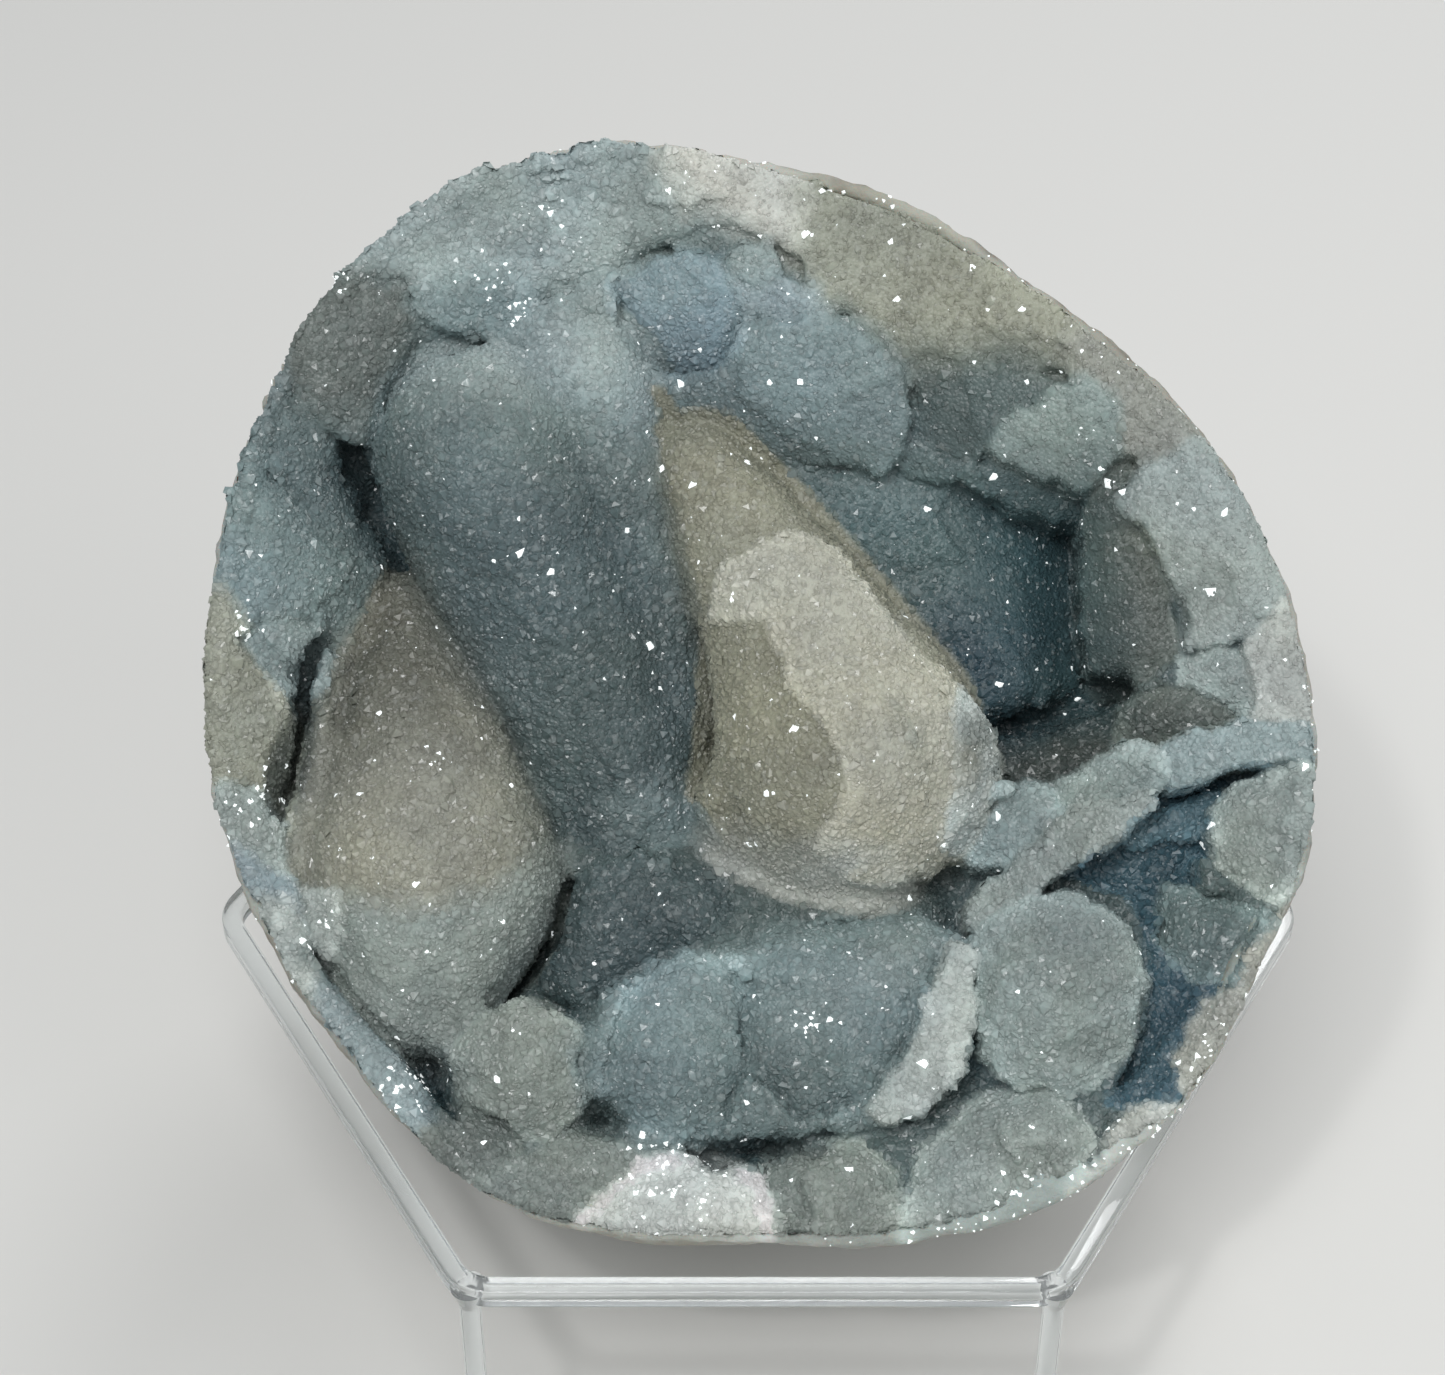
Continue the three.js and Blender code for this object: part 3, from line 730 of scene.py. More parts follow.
def normals_of(points, faces):
    """Vertex normals of a four-cornered mesh."""
    a, b, c, d = [points[faces[:, k]] for k in range(4)]
    face = np.cross(c - a, d - b)
    total = np.zeros_like(points)
    for k in range(4):
        np.add.at(total, faces[:, k], face)
    return total / np.maximum(np.linalg.norm(total, axis=1, keepdims=True), 1e-9)


def coarsen(points, faces, hidden, cell):
    """Draws the hidden vertices together on a coarse lattice and drops the faces that close up."""
    key = np.round(points / cell).astype(np.int64)
    code = (key[:, 0] * 4099 + key[:, 1]) * 4099 + key[:, 2]
    code = np.where(hidden, code, np.arange(len(points)) + code.max() + 1)
    _, first, group = np.unique(code, return_index=True, return_inverse=True)
    small = group[faces]
    triangles = np.concatenate([small[:, [0, 1, 2]], small[:, [0, 2, 3]]])
    a, b, c = triangles.T
    triangles = triangles[(a != b) & (b != c) & (c != a)]
    keep = np.unique(np.sort(triangles, axis=1), axis=0, return_index=True)[1]
    return points[first], triangles[np.sort(keep)], first


def make_skin(name, points, faces, normals, hidden, rise, cell):
    """A smooth roughened mesh object, coarse where hidden, with its points and which ones they were."""
    points = points + normals * np.where(hidden, 0, rise)[:, None]
    points, triangles, first = coarsen(points, faces, hidden, cell)
    thing = make_object(name, to_part(points), triangles)
    thing.data.polygons.foreach_set("use_smooth", np.ones(len(thing.data.polygons), bool))
    thing.data.update()
    return thing, points, first


# The crust: the filling, its hollows and all that grows from it

CRUST_STEP = 0.62
PLATE_FOOT = -34
PLATE_HEAD = 8
# A leaning face's distance, as a share of the height above it
LEAN_SHARE = 0.9


def crust_room(points):
    """Distance to the room that the crust may fill: inside the rind, and over its edge in front."""
    cover = np.clip(around(RIM_COVER, angle_of(points)), 0, 1)
    front = np.clip((points[:, 2] + COVER_DEEP) / 0.8, 0, 1)
    behind = dome(points, lambda angle: rind_thickness(angle) - TOUCH, DEPTH)
    over = dome(points, lambda angle: 0.15 + 0 * angle, DEPTH) - 0.3 * soft_noise(points, 2.3, 18)
    return behind + (over - behind) * cover * front


def away_from_rim(points):
    """How far each point is from the rim across the face, and how much the rim's wave lifts it."""
    angle = angle_of(points)
    away = np.clip(edge_radius(angle) - np.hypot(points[:, 0], points[:, 1]), 0, None)
    return away, rim_rise(angle) * np.clip(1 - away / 14, 0, 1)


def gap(points, middle, half, turn):
    """Distance to a hollow with uneven walls."""
    smooth = ellipsoid(points, middle, half, turn)
    return smooth + 0.8 * soft_noise(points, 2.2, 71) + 0.8 * soft_noise(points, 5, 72)


def block_over(outline, margin):
    """The low and high corners of the block that an outline can change."""
    corners = np.array(outline)
    return (*(corners.min(0) - margin), PLATE_FOOT), (*(corners.max(0) + margin), PLATE_HEAD)


def cut_or_fill(grid, outline, shoulder, blend, top_of):
    """Gives the crust one broad face, at the height top_of(points), with a ragged, rounded edge."""
    window = grid.window(*block_over(outline, 3))
    old = grid.values[window].astype(float)
    flat = grid.points((*window[:2], slice(0, 1)))
    within = ragged(flat, outline, blend)
    top = top_of(flat) - shoulder * fading(within, 0.6 + shoulder)
    high = grid.low[2] + grid.step * np.arange(window[2].start, window[2].stop)
    shape = (*old.shape[:2], 1)
    above = (high - top.reshape(shape)) * LEAN_SHARE
    within = np.broadcast_to(within.reshape(shape), old.shape)
    filled = soft_join(old, np.maximum(above, -within), 0.4)
    grid.values[window] = np.maximum(filled, np.minimum(above, within))


def crust_grid():
    grid = Grid((-69, -67, -70), (68, 76, 8), CRUST_STEP)
    everywhere = (grid.low, grid.low + grid.count * grid.step)

    def bowl_inset(angle):
        return rind_thickness(angle) + BOWL_LIP

    def filling(points, old):
        return soft_cut(points[:, 2] - FILLING_TOP, dome(points, bowl_inset, BOWL_DEPTH), 1.0)

    def ground(points, old):
        away, lift = away_from_rim(points)
        falls = around(GROUND_FALLS, angle_of(points))
        above = points[:, 2] - GROUND_RIM - lift + falls * away ** 1.5
        return soft_join(old, above * LEAN_SHARE, 2.0)

    grid.change(*everywhere, filling)
    grid.change(*everywhere, ground)
    margin = 4
    for middle, half, turn, _ in LUMPS:
        grid.change_near([middle], max(half) + margin,
                         lambda p, old: soft_join(old, ellipsoid(p, middle, half, turn), 2.0))
    for _, planes, blend, outline in SLOPES.values():
        def lowest(points):
            tops = []
            for (x, y, z), (along, up) in planes:
                tops.append(z + along * (points[:, 0] - x) + up * (points[:, 1] - y))
            return soft_join(tops[0], tops[-1], 4.0)
        cut_or_fill(grid, outline, 0.8, blend, lowest)
    for _, height, fall, shoulder, blend, outline in PLATES.values():
        def top_of(points):
            away, lift = away_from_rim(points)
            return height + lift - fall * away ** 1.5
        cut_or_fill(grid, outline, shoulder, blend, top_of)
    for middle, half, turn, _ in HOLLOWS:
        grid.change_near([middle], max(half) + margin,
                         lambda p, old: soft_cut(old, gap(p, middle, half, turn), 3.0))
    for root, tip, radii, soft, _ in FINGERS:
        grid.change_near([root, tip], max(radii) + margin,
                         lambda p, old: soft_join(old, round_cone(p, root, tip, radii), soft))
    for _, proud, soft, outline in PATCHES.values():
        if proud:
            grid.change(*block_over(outline, 2),
                        lambda p, old: old - proud * soft_step(ragged(p, outline), soft))

    def close_to_rind(points, old):
        room = crust_room(points)
        lift = rim_rise(angle_of(points))
        wall = np.maximum(-room - WALL, points[:, 2] - WALL_TOP - lift)
        return np.maximum(soft_join(old, wall, 0.8), room)

    grid.near_surface(2.5, lambda p: -0.4 * soft_noise(p, 8, 11) - 0.2 * soft_noise(p, 3.2, 12))
    grid.change(*everywhere, close_to_rind)
    grid.near_surface(2.5, lambda p: -LAYER_HEIGHT * layer_steps(p))
    grid.change(*everywhere, lambda p, old: np.maximum(old, crust_room(p)))
    return grid


def crust_tints(points):
    """Linear colour of each point from the pieces nearest to it."""
    fingers = [round_cone(points, root, tip, radii) for root, tip, radii, _, _ in FINGERS]
    lumps = [ellipsoid(points, middle, half, turn) for middle, half, turn, _ in LUMPS]
    tints = np.zeros((len(points), 3))
    weights = np.zeros(len(points))
    for distance, (*_, name) in zip(fingers + lumps, FINGERS + LUMPS):
        weight = np.exp(-np.clip(distance, 0, 30) / TINT_REACH)
        tints += weight[:, None] * colour(name)
        weights += weight
    # Painted shade: far from the fingers and lumps, the gaps between the faces take the shade colour
    tints = (tints + REST_WEIGHT * colour("shade")) / (weights + REST_WEIGHT)[:, None]
    behind = np.clip((np.min(fingers, axis=0) - 1.3) / 0.8, 0, 1)

    def lay(name, share, glow=np.zeros(1)):
        nonlocal tints
        tints = tints * (1 - share[:, None]) + colour(name) * (1 + glow[:, None]) * share[:, None]

    for name, _, blend, outline in SLOPES.values():
        lay(name, soft_step(ragged(points, outline), blend) * behind)
    for name, _, _, shoulder, blend, outline in PLATES.values():
        within = ragged(points, outline, blend)
        # Painted glow: the thin edges of the faces are lightened as if lit through
        glow = EDGE_GLOW * (min(1.0, shoulder / 2) if blend < CRISP else SOFT_GLOW)
        lay(name, soft_step(within, blend) * behind, glow * fading(within, GLOW_REACH))
    for zone, (name, proud, soft, outline) in PATCHES.items():
        within = ragged(points, outline)
        glow = LAYER_GLOW * EDGE_GLOW if proud > 0 else 0
        share = soft_step(within, soft) * (behind if zone in ON_PLATES else 1 - behind)
        lay(name, share, glow * fading(within, TINT_REACH))
    # Painted shade: the walls of the gaps take their dark colours
    for middle, half, turn, name in HOLLOWS:
        lay(name, soft_step(-gap(points, middle, half, turn), 1.2) * behind)
    tints *= 1 + (layer_steps(points) * (FINGER_TONE + FACE_TONE * behind))[:, None]
    return np.clip(tints, 0, 0.88)


def openness(points, normals, grid):
    """How open the place in front of each point is, 0 in a crevice and 1 in the open; it sets how much
    painted shade darkens the crust there.
    """
    result = np.ones(len(points))
    for reach in (1.5, 3.5, 8.0):
        place = (points + normals * reach - grid.low) / grid.step
        i = np.clip(np.round(place).astype(int), 0, grid.count - 1)
        gone = grid.values[tuple(i.T)] / reach
        result *= 0.35 + 0.65 * np.clip(gone, 0, 1)
    return result


# Where sparkling crystals crowd together: middle across the face and radius
CLUSTERS = [
    ((-32, 50), 3.5), ((-29, 46), 2.5), ((-25, 58), 3), ((-50, 50), 2.5), ((-59, -13), 4.5), ((-51, -26), 3),
    ((6, -39), 4), ((-41, -46), 4), ((-10, -58), 8), ((44, -52), 7), ((52, -44), 5), ((-60, 8), 3),
    ((-38, -8), 2.5), ((62, 2), 3), ((30, -59), 5),
]


def cluster_share(points):
    """1 in the middle of a cluster of sparkling crystals, 0 away from them."""
    patchy = np.clip(0.6 + soft_noise(points, 2.2, 61), 0, 1)
    share = np.zeros(len(points))
    for (x, y), radius in CLUSTERS:
        share = np.maximum(share, 1 - np.hypot(points[:, 0] - x, points[:, 1] - y) / radius)
    return np.clip(2 * share, 0, 1) * patchy * (points[:, 2] > -14)


def smooth_share(points):
    """1 on the smooth upper right of the hollow, 0 on the sugary rest."""
    right = np.clip((points[:, 0] + 0.6 * points[:, 1] - 18) / 14, 0, 1)
    upper = np.clip((points[:, 1] + 6) / 8, 0, 1)
    return right * upper


def make_crust():
    grid = crust_grid()
    points, faces = grid.mesh()
    normals = normals_of(points, faces)
    hidden = (crust_room(points) > -0.6) & (points[:, 2] < FILLING_TOP - 1.5)
    fine = 0.1 * grains(points, 1.9, 21) + 0.1 * grains(points, 1.1, 22)
    thing, points, first = make_skin("crust_skin", points, faces, normals, hidden, fine - 0.1, 6.0)
    front = 1.0 - hidden[first]
    add_attribute(thing, "tint", crust_tints(points))
    add_attribute(thing, "openness", openness(points, normals[first], grid))
    add_attribute(thing, "front", front)
    add_attribute(thing, "scaly", front * (1 - 0.9 * smooth_share(points)))
    add_attribute(thing, "cluster", cluster_share(points))
    return thing


# The rind: the nodule's skin with its broken edge

RIND_STEP = 1.0


def make_rind():
    grid = Grid((-70, -68, -74), (70, 78, 8), RIND_STEP)
    everywhere = (grid.low, grid.low + grid.count * grid.step)

    def bowl(points, old):
        angle = angle_of(points)
        share = np.clip(np.hypot(points[:, 0], points[:, 1]) / edge_radius(angle), 0, 1.2)
        top = points[:, 2] - rim_rise(angle) * share ** 4 + (COVER_DEEP - 0.4) * around(RIM_COVER, angle)
        outside = dome(points, lambda a: 0 * a, DEPTH)
        outside = outside + 0.9 * soft_noise(points, 17, 31) + 0.45 * soft_noise(points, 6, 32)
        body = soft_cut(outside, -top, 1.0)
        return np.maximum(body, -dome(points, rind_thickness, DEPTH))

    grid.change(*everywhere, bowl)
    points, faces = grid.mesh()
    normals = normals_of(points, faces)
    inner = dome(points, rind_thickness, DEPTH)
    hidden = (np.abs(inner) < 0.6) & (points[:, 2] < FILLING_TOP - 4)
    rough = 0.35 * grains(points, 2.6, 33) + 0.2 * soft_noise(points, 1.7, 34)
    thing, points, _ = make_skin("rind_skin", points, faces, normals, hidden, rough - 0.2, 7.0)
    angle = angle_of(points)
    edge = np.clip((points[:, 2] - rim_rise(angle) + 3.2 + 0.9 * soft_noise(points, 3, 35)) / 0.8, 0, 1)
    edge = edge * np.clip(1.3 - around(RIM_COVER, angle), 0, 1)
    add_attribute(thing, "tint", crust_tints(points))
    add_attribute(thing, "front", edge)
    return thing


# Node trees, written as sums on sockets

class Value:
    """A socket that carries a value: a sum on it adds the Math nodes."""

    def __init__(self, wires, socket):
        self.wires = wires
        self.socket = socket

    def maths(self, operation, *others):
        return self.wires.node("ShaderNodeMath", {"operation": operation}, [self, *others])

    def __add__(self, other):
        return self.maths("ADD", other)

    def __sub__(self, other):
        return self.maths("SUBTRACT", other)

    def __mul__(self, other):
        return self.maths("MULTIPLY", other)

    def __rsub__(self, other):
        return self.wires.node("ShaderNodeMath", {"operation": "SUBTRACT"}, [other, self])

    __radd__ = __add__
    __rmul__ = __mul__

    def step(self, low, high):
        """0 below low, 1 above high, smooth between."""
        settings = {"interpolation_type": "SMOOTHSTEP"}
        return self.wires.node("ShaderNodeMapRange", settings, {0: self, 1: low, 2: high})


class Wires:
    """Makes and joins the nodes of one tree."""

    def __init__(self, tree):
        self.tree = tree

    def node(self, kind, settings=(), inputs=(), output=0):
        made = self.tree.nodes.new(kind)
        for name, value in dict(settings).items():
            setattr(made, name, value)
        pairs = inputs.items() if isinstance(inputs, dict) else enumerate(inputs)
        for name, value in pairs:
            self.plug(made.inputs[name], value)
        return Value(self, made.outputs[output])

    def plug(self, socket, value):
        if isinstance(value, Value):
            self.tree.links.new(value.socket, socket)
        else:
            socket.default_value = value


class Maker(Wires):
    """A Geometry Nodes tree with named inputs, run on an object and turned into a plain mesh."""

    def __init__(self, name, **inputs):
        tree = bpy.data.node_groups.new(name, "GeometryNodeTree")
        super().__init__(tree)
        tree.interface.new_socket("Geometry", in_out="INPUT", socket_type="NodeSocketGeometry")
        tree.interface.new_socket("Geometry", in_out="OUTPUT", socket_type="NodeSocketGeometry")
        self.values = inputs
        for label, value in inputs.items():
            kind = "NodeSocketInt" if isinstance(value, int) else "NodeSocketFloat"
            tree.interface.new_socket(label, in_out="INPUT", socket_type=kind)
        self.entry = tree.nodes.new("NodeGroupInput")

    def given(self, label):
        return Value(self, self.entry.outputs[label])

    def random(self, low, high, seed, kind="FLOAT"):
        made = self.tree.nodes.new("FunctionNodeRandomValue")
        made.data_type = kind
        sockets = [i for i in made.inputs if i.enabled]
        self.plug(sockets[0], low)
        self.plug(sockets[1], high)
        self.plug(made.inputs["Seed"], seed)
        return Value(self, [o for o in made.outputs if o.enabled][0])

    def moved(self, shape, place):
        return self.node("GeometryNodeTransform", {}, {"Geometry": shape, "Translation": place})

    def make(self, name, base, result, material):
        """Runs the tree on a copy of the base and returns the result as a mesh object."""
        result = self.node("GeometryNodeRealizeInstances", {}, {"Geometry": result})
        result = self.node("GeometryNodeSetMaterial", {}, {"Geometry": result, "Material": material})
        self.plug(self.tree.nodes.new("NodeGroupOutput").inputs[0], result)
        worker = bpy.data.objects.new(name + "_base", base.data)
        bpy.context.scene.collection.objects.link(worker)
        modifier = worker.modifiers.new(name, "NODES")
        modifier.node_group = self.tree
        for item in self.tree.interface.items_tree:
            if item.in_out == "INPUT" and item.name in self.values:
                modifier[item.identifier] = self.values[item.name]
        depsgraph = bpy.context.evaluated_depsgraph_get()
        mesh = bpy.data.meshes.new_from_object(worker.evaluated_get(depsgraph))
        bpy.data.objects.remove(worker)
        mesh.name = name
        made = bpy.data.objects.new(name, mesh)
        bpy.context.scene.collection.objects.link(made)
        return made


class Shader(Wires):
    """A material's node tree with a Principled shader."""

    def __init__(self, name, **constants):
        self.material = bpy.data.materials.new(name)
        self.material.use_nodes = True
        super().__init__(self.material.node_tree)
        self.skin = self.tree.nodes["Principled BSDF"]
        for socket, value in constants.items():
            self.skin.inputs[socket.replace("_", " ")].default_value = value

    def mix(self, share, a, b, blend="MIX"):
        """Two colours mixed by a share."""
        settings = {"data_type": "RGBA", "blend_type": blend}
        return self.node("ShaderNodeMix", settings, {0: share, 6: a, 7: b}, 2)

    def set(self, name, value):
        self.plug(self.skin.inputs[name], value)

    def place(self):
        return self.node("ShaderNodeTexCoord", output="Object")

    def attribute(self, name, output="Fac"):
        return self.node("ShaderNodeAttribute", {"attribute_name": name}, output=output)

    def noise(self, place, scale, detail=3.0, roughness=0.5):
        inputs = {"Vector": place, "Scale": scale, "Detail": detail, "Roughness": roughness}
        return self.node("ShaderNodeTexNoise", {}, inputs, "Fac")

    def cells(self, place, scale):
        return self.node("ShaderNodeTexVoronoi", {}, {"Vector": place, "Scale": scale}, "Distance")

    def bump(self, height, distance, strength=1.0, normal=None):
        inputs = {"Strength": strength, "Distance": distance, "Height": height}
        if normal:
            inputs["Normal"] = normal
        return self.node("ShaderNodeBump", {}, inputs, "Normal")


def paint(red, green, blue):
    """A colour as the eye reads it, 0 to 255, for a colour socket."""
    return (*linear(red, green, blue).tolist(), 1)


def crust_body(s, place):
    """Colour of the chalcedony: its tint, clouded warm and cool, with painted shade darkening the crevices.
    """
    tint = s.attribute("tint", "Color")
    hue = s.mix(s.noise(place, 60, 2).step(0.3, 0.7), (0.94, 1.0, 1.05, 1), (1.01, 1.02, 0.94, 1))
    body = s.mix(0.5, tint, hue, "MULTIPLY")
    cloud = s.mix(s.noise(place, 80, 3).step(0.3, 0.7), (0.78, 0.75, 0.75, 1), (0.96, 0.93, 0.92, 1))
    body = s.mix(1.0, body, cloud, "MULTIPLY")
    # Painted shade: closed-in places are mixed towards a dark teal
    return s.mix((1 - s.attribute("openness")) * 0.25, body, paint(42, 60, 65))


def crust_shader(name):
    s = Shader(name, IOR=1.54, Subsurface_Weight=0.35, Subsurface_Scale=0.002)
    s.skin.inputs["Subsurface Radius"].default_value = (0.85, 1.0, 1.0)
    return s


def crust_material():
    s = crust_shader("chalcedony")
    place = s.place()
    s.set("Base Color", crust_body(s, place))
    s.set("Roughness", 0.34 + 0.25 * s.noise(place, 900, 2))
    small = s.bump(1 - s.cells(place, 2200), 0.0002, 0.7)
    s.set("Normal", s.bump(s.noise(place, 900, 3), 0.0003, 0.6, small))
    return s.material


def druse_material():
    s = crust_shader("druse")
    place = s.place()
    spark = s.attribute("spark")
    # Painted highlight: a few crystals, picked by spark, are lightened towards white as if they catch the
    # light
    s.set("Base Color", s.mix(spark.step(0.7, 1.0) * 0.12, crust_body(s, place), paint(225, 230, 228)))
    s.set("Roughness", 0.42 - 0.2 * spark.step(0.7, 1.0))
    s.set("Normal", s.bump(s.noise(place, 1500, 2), 0.0002, 0.4))
    return s.material


def glint_material():
    # Painted highlight: the glints are near white and glow by emission, standing in for crystal faces that
    # catch the light
    s = Shader("glints", Roughness=0.15, IOR=1.54, Emission_Strength=0.5)
    s.skin.inputs["Emission Color"].default_value = (0.9, 0.95, 0.95, 1)
    place = s.place()
    s.set("Base Color", s.mix(s.noise(place, 300, 2), paint(225, 232, 232), paint(250, 252, 250)))
    return s.material


def rind_material():
    s = Shader("rind", Subsurface_Weight=0.2, Subsurface_Scale=0.003)
    place = s.place()
    outside = s.mix(s.noise(place, 45, 5).step(0.35, 0.65), paint(150, 148, 136), paint(176, 178, 172))
    outside = s.mix(s.noise(place, 160, 4).step(0.5, 0.72) * 0.6, outside, paint(104, 96, 84))
    edge = s.attribute("front")
    body = s.mix(edge, outside, s.attribute("tint", "Color"))
    s.set("Base Color", body)
    s.set("Roughness", 0.8 - 0.35 * edge)
    s.set("Normal", s.bump(s.noise(place, 600, 5, 0.65), 0.0008, 0.7))
    return s.material


def clear_material():
    s = Shader("clear", IOR=1.49, Transmission_Weight=0.88)
    s.skin.inputs["Base Color"].default_value = (0.93, 0.96, 0.96, 1)
    place = s.place()
    s.set("Roughness", 0.02 + 0.1 * s.noise(place, 150, 4).step(0.5, 0.75))
    return s.material


def floor_material():
    s = Shader("floor", Roughness=0.6)
    s.skin.inputs["Base Color"].default_value = paint(214, 213, 210)
    return s.material


# Sugar-fine crystals: small pyramids scattered on the crust, their feet sunk into it by a share
SUNK_SHARE = 0.3


def scatter(name, base, material, per_mm2, size, lean, seed, sides, tall, mask):
    """Crystals on a piece, as many as its mask attribute allows: size in mm, height as a share of it."""
    maker = Maker(name, Density=per_mm2 * 1e6, Size=size * MM, Lean=lean, Seed=seed)
    share = maker.node("GeometryNodeInputNamedAttribute", {"data_type": "FLOAT"}, {"Name": mask})
    spread = maker.tree.nodes.new("GeometryNodeDistributePointsOnFaces")
    maker.plug(spread.inputs["Mesh"], maker.given("Geometry"))
    maker.plug(spread.inputs["Density"], maker.given("Density") * share)
    maker.plug(spread.inputs["Seed"], maker.given("Seed"))
    points = Value(maker, spread.outputs["Points"])
    upright = Value(maker, spread.outputs["Rotation"])
    lean_high = maker.node("ShaderNodeCombineXYZ", {}, [maker.given("Lean"), maker.given("Lean"), math.pi])
    lean_low = maker.node("ShaderNodeVectorMath", {"operation": "SCALE"}, {0: lean_high, "Scale": -1.0})
    turn = maker.random(lean_low, lean_high, maker.given("Seed") + 1, "FLOAT_VECTOR")
    turned = maker.node("FunctionNodeRotateRotation", {"rotation_space": "LOCAL"}, [upright, turn])
    pyramid = maker.node("GeometryNodeMeshCone", {"fill_type": "NONE"}, {
        "Vertices": sides, "Side Segments": 1, "Radius Top": 0.0, "Radius Bottom": 0.5, "Depth": tall,
    })
    pyramid = maker.moved(pyramid, (0, 0, -SUNK_SHARE * tall))
    pyramid = maker.node("GeometryNodeSetShadeSmooth", {}, {"Geometry": pyramid, "Shade Smooth": False})
    spark = maker.random(0.0, 1.0, maker.given("Seed") + 2)
    grow = maker.random(0.0, 1.0, maker.given("Seed") + 3)
    uneven = maker.random((0.7, 0.7, 0.8), (1.3, 1.3, 1.2), maker.given("Seed") + 4, "FLOAT_VECTOR")
    scale = maker.node("ShaderNodeVectorMath", {"operation": "SCALE"}, {
        0: uneven, "Scale": maker.given("Size") * (0.6 + 0.9 * grow * grow),
    })
    crystals = maker.node("GeometryNodeInstanceOnPoints", {}, {
        "Points": points, "Instance": pyramid, "Rotation": turned, "Scale": scale,
    })
    crystals = maker.node("GeometryNodeStoreNamedAttribute", {"data_type": "FLOAT", "domain": "INSTANCE"}, {
        "Geometry": crystals, "Name": "spark", "Value": spark,
    })
    return maker.make(name, base, crystals, material)


# The stand: one clear ring on four legs

RING_SIDE = 66.0
RING_BEND = 5.0
STRIP_WIDTH = 2.4
STRIP_HEIGHT = 2.8
STRIP_DROP = 0.3
STRIP_EDGE = 0.35
LEGS = ("stand_leg_1", "stand_leg_2", "stand_leg_3", "stand_leg_4")
LEG_RADIUS = 1.25
LEG_FLARE = 2.1
LEG_FLARE_HEIGHT = 2.4
LEG_BELOW_TOP = 0.8


def make_stand(material):
    """The ring is a rounded strip swept round a hexagon; the legs are fused to its corners."""
    maker = Maker("stand", Side=RING_SIDE * MM, Bend=RING_BEND * MM)
    path = maker.node("GeometryNodeCurvePrimitiveCircle", {}, {
        "Resolution": 6, "Radius": maker.given("Side"),
    })
    path = maker.node("GeometryNodeFilletCurve", {"mode": "POLY"}, {
        "Curve": path, "Count": 8, "Radius": maker.given("Bend"),
    })
    strip = maker.node("GeometryNodeCurvePrimitiveQuadrilateral", {}, {
        "Width": STRIP_WIDTH * MM, "Height": STRIP_HEIGHT * MM,
    })
    strip = maker.node("GeometryNodeFilletCurve", {"mode": "POLY"}, {
        "Curve": strip, "Count": 4, "Radius": STRIP_EDGE * MM,
    })
    ring = maker.node("GeometryNodeCurveToMesh", {}, {"Curve": path, "Profile Curve": strip})
    parts = [maker.moved(ring, tuple(RING_MIDDLE - Vector((0, 0, STRIP_DROP * MM))))]
    for leg in LEGS:
        low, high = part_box(leg)
        x, y = (low[0] + high[0]) / 2, (low[1] + high[1]) / 2
        top = RING_HIGH[2] - LEG_BELOW_TOP * MM
        rod = maker.node("GeometryNodeMeshCylinder", {"fill_type": "NGON"}, {
            "Vertices": 28, "Radius": LEG_RADIUS * MM, "Depth": top - low[2],
        })
        flare = maker.node("GeometryNodeMeshCone", {"fill_type": "NGON"}, {
            "Vertices": 28, "Radius Top": LEG_FLARE * MM, "Radius Bottom": LEG_RADIUS * 0.9 * MM,
            "Depth": (LEG_FLARE_HEIGHT + 1) * MM,
        })
        parts.append(maker.moved(rod, (x, y, (top + low[2]) / 2)))
        parts.append(maker.moved(flare, (x, y, RING_LOW[2] - LEG_FLARE_HEIGHT * MM)))
    union = maker.tree.nodes.new("GeometryNodeMeshBoolean")
    union.operation = "UNION"
    union.solver = "EXACT"
    for part in parts:
        maker.plug(union.inputs["Mesh 2"], part)
    return maker.make("stand", crust, Value(maker, union.outputs["Mesh"]), material)


# Studio lights: place and size in metres, power in watts, and the point that they face
LIGHTS = {
    "key": ((-0.12, -0.5, 0.95), 0.55, 5.4),
    "fill": ((0.7, -0.4, 0.55), 0.6, 1.4),
    "glint": ((-0.25, -0.45, 0.85), 0.06, 1.2),
    "back": ((0.3, 0.6, 0.7), 0.4, 2.5),
}
LIT_POINT = Vector((0, 0, 0.07))


def add_light(name, place, size, power):
    data = bpy.data.lights.new(name, "AREA")
    data.shape = "DISK"
    data.size = size
    data.energy = power
    light = bpy.data.objects.new(name, data)
    light.location = place
    light.rotation_euler = (LIT_POINT - Vector(place)).to_track_quat("-Z", "Y").to_euler()
    bpy.context.scene.collection.objects.link(light)


# The photograph's camera, measured from the ring's middle in millimetres
CAMERA_PLACE = Vector((-4.4, -276.2, 287.2))
CAMERA_DOWN = math.radians(42)
FOCAL_PIXELS = 3200
FRAME_WIDTH = 1445
SENSOR = 36.0


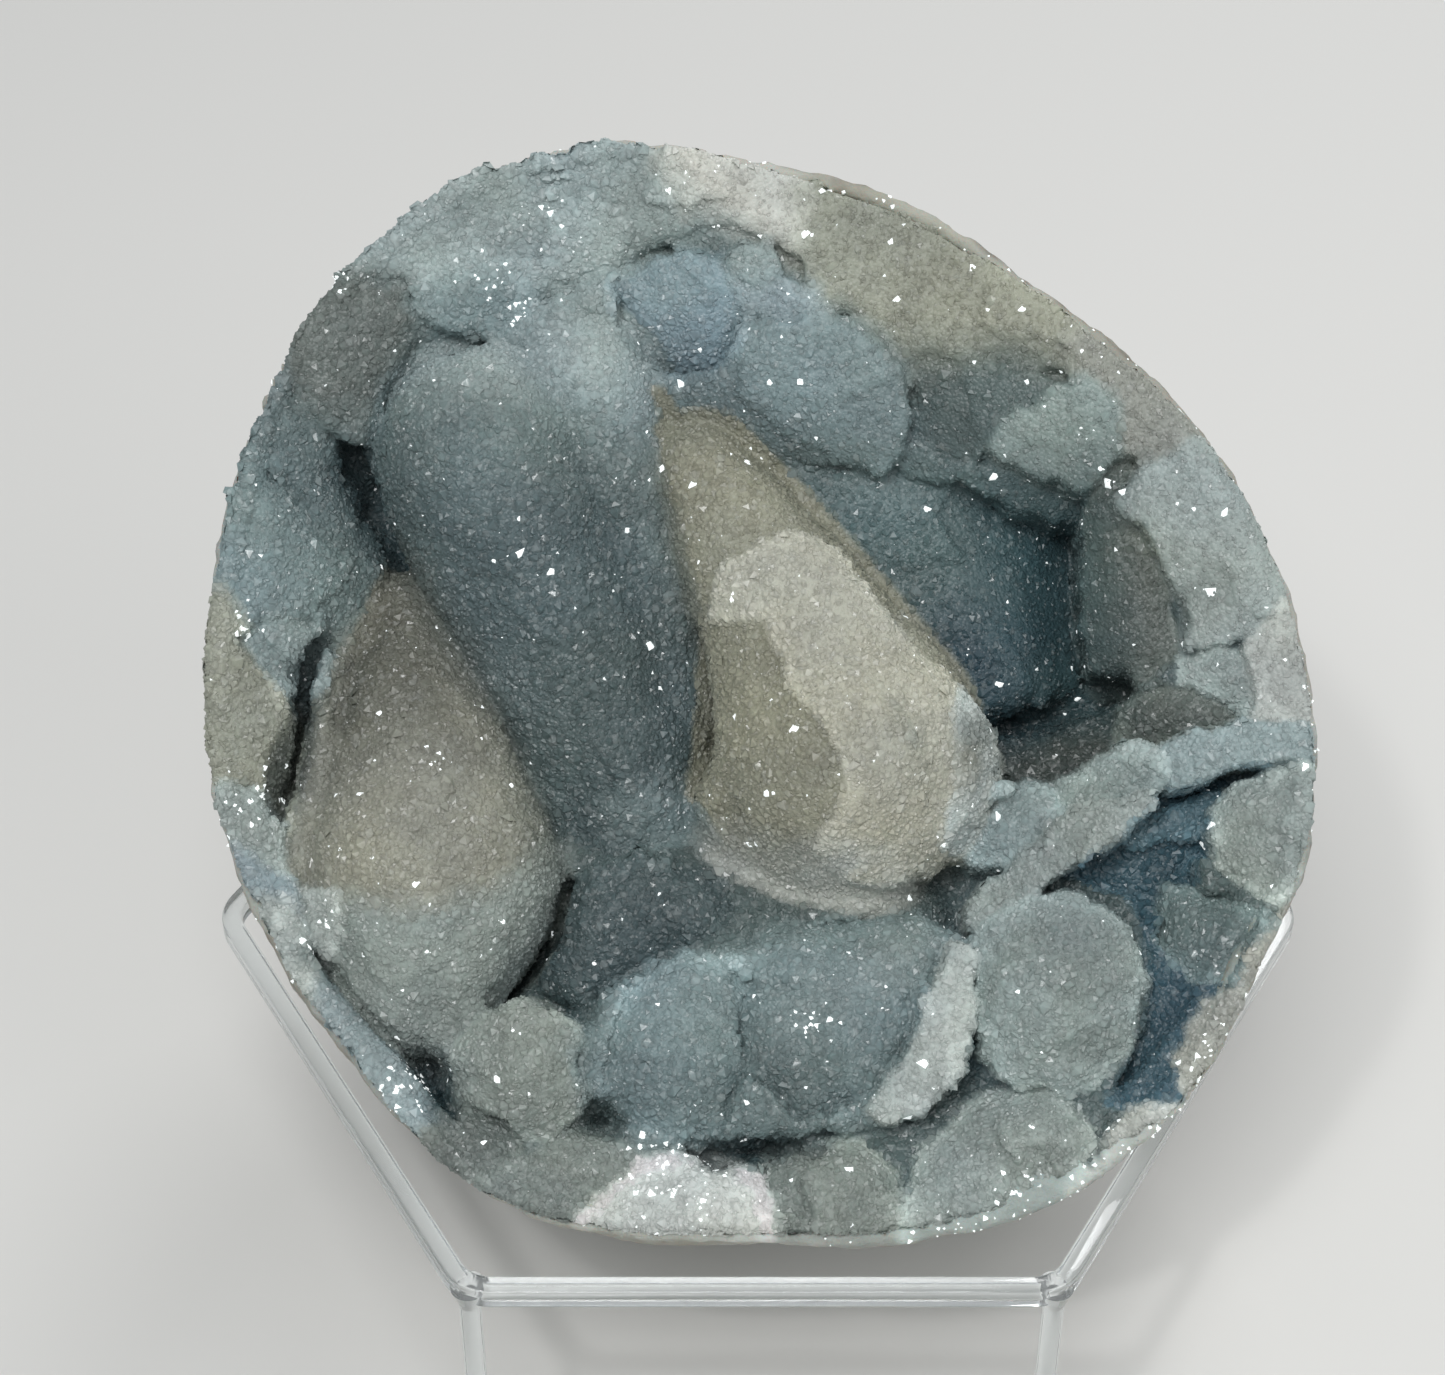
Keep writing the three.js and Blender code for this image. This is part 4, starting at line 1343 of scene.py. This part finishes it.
def make_camera():
    data = bpy.data.cameras.new("camera")
    data.sensor_width = SENSOR
    data.lens = FOCAL_PIXELS / FRAME_WIDTH * SENSOR
    data.clip_start = 0.01
    camera = bpy.data.objects.new("camera", data)
    camera.location = RING_MIDDLE + CAMERA_PLACE * MM
    camera.rotation_euler = (math.pi / 2 - CAMERA_DOWN, 0, 0)
    bpy.context.scene.collection.objects.link(camera)
    bpy.context.scene.camera = camera


def make_studio():
    half = 3.0
    corners = np.array([(-half, -half, 0), (half, -half, 0), (half, half, 0), (-half, half, 0)])
    floor = make_object("floor", corners, np.array([[0, 1, 2, 3]]))
    floor.data.materials.append(floor_material())
    world = bpy.data.worlds.new("studio")
    world.use_nodes = True
    background = world.node_tree.nodes["Background"]
    background.inputs["Color"].default_value = (0.86, 0.9, 0.93, 1)
    background.inputs["Strength"].default_value = 0.38
    bpy.context.scene.world = world
    for name, (place, size, power) in LIGHTS.items():
        add_light(name, place, size, power)


def finish(piece, slot, *nodes):
    """Hangs a piece on the root body and hides the solids that it stands for; its slot is not used."""
    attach(piece, "root")
    if nodes:
        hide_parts(*nodes)


crust = make_crust()
crust.data.materials.append(crust_material())
finish(crust, "crust", "crust")

rind = make_rind()
rind.data.materials.append(rind_material())
finish(rind, "rind", "rind")

# The glints and the rim crystals wear the glints material, with its painted highlight
druse, glints = druse_material(), glint_material()
for name, base, material, slot, form in (
    ("druse_scales", crust, druse, "crust", (1.6, 1.25, 0.32, 0, 5, 0.3, "scaly")),
    ("druse_grains", crust, druse, "crust", (1.9, 0.85, 0.4, 100, 4, 0.3, "front")),
    ("glints_small", crust, glints, "crust", (0.03, 0.5, 0.6, 700, 3, 0.4, "front")),
    ("glints_large", crust, glints, "crust", (0.009, 1.15, 0.5, 900, 4, 0.25, "front")),
    ("glints_clustered", crust, glints, "crust", (0.8, 0.8, 0.9, 300, 4, 0.5, "cluster")),
    ("rim_crystals", rind, glints, "rind", (0.5, 0.6, 0.7, 500, 4, 0.6, "front")),
):
    finish(scatter(name, base, material, *form), slot)

stand = make_stand(clear_material())
finish(stand, "clear", "stand_ring", *LEGS)

make_camera()
make_studio()
bpy.context.scene.view_settings.view_transform = "Standard"
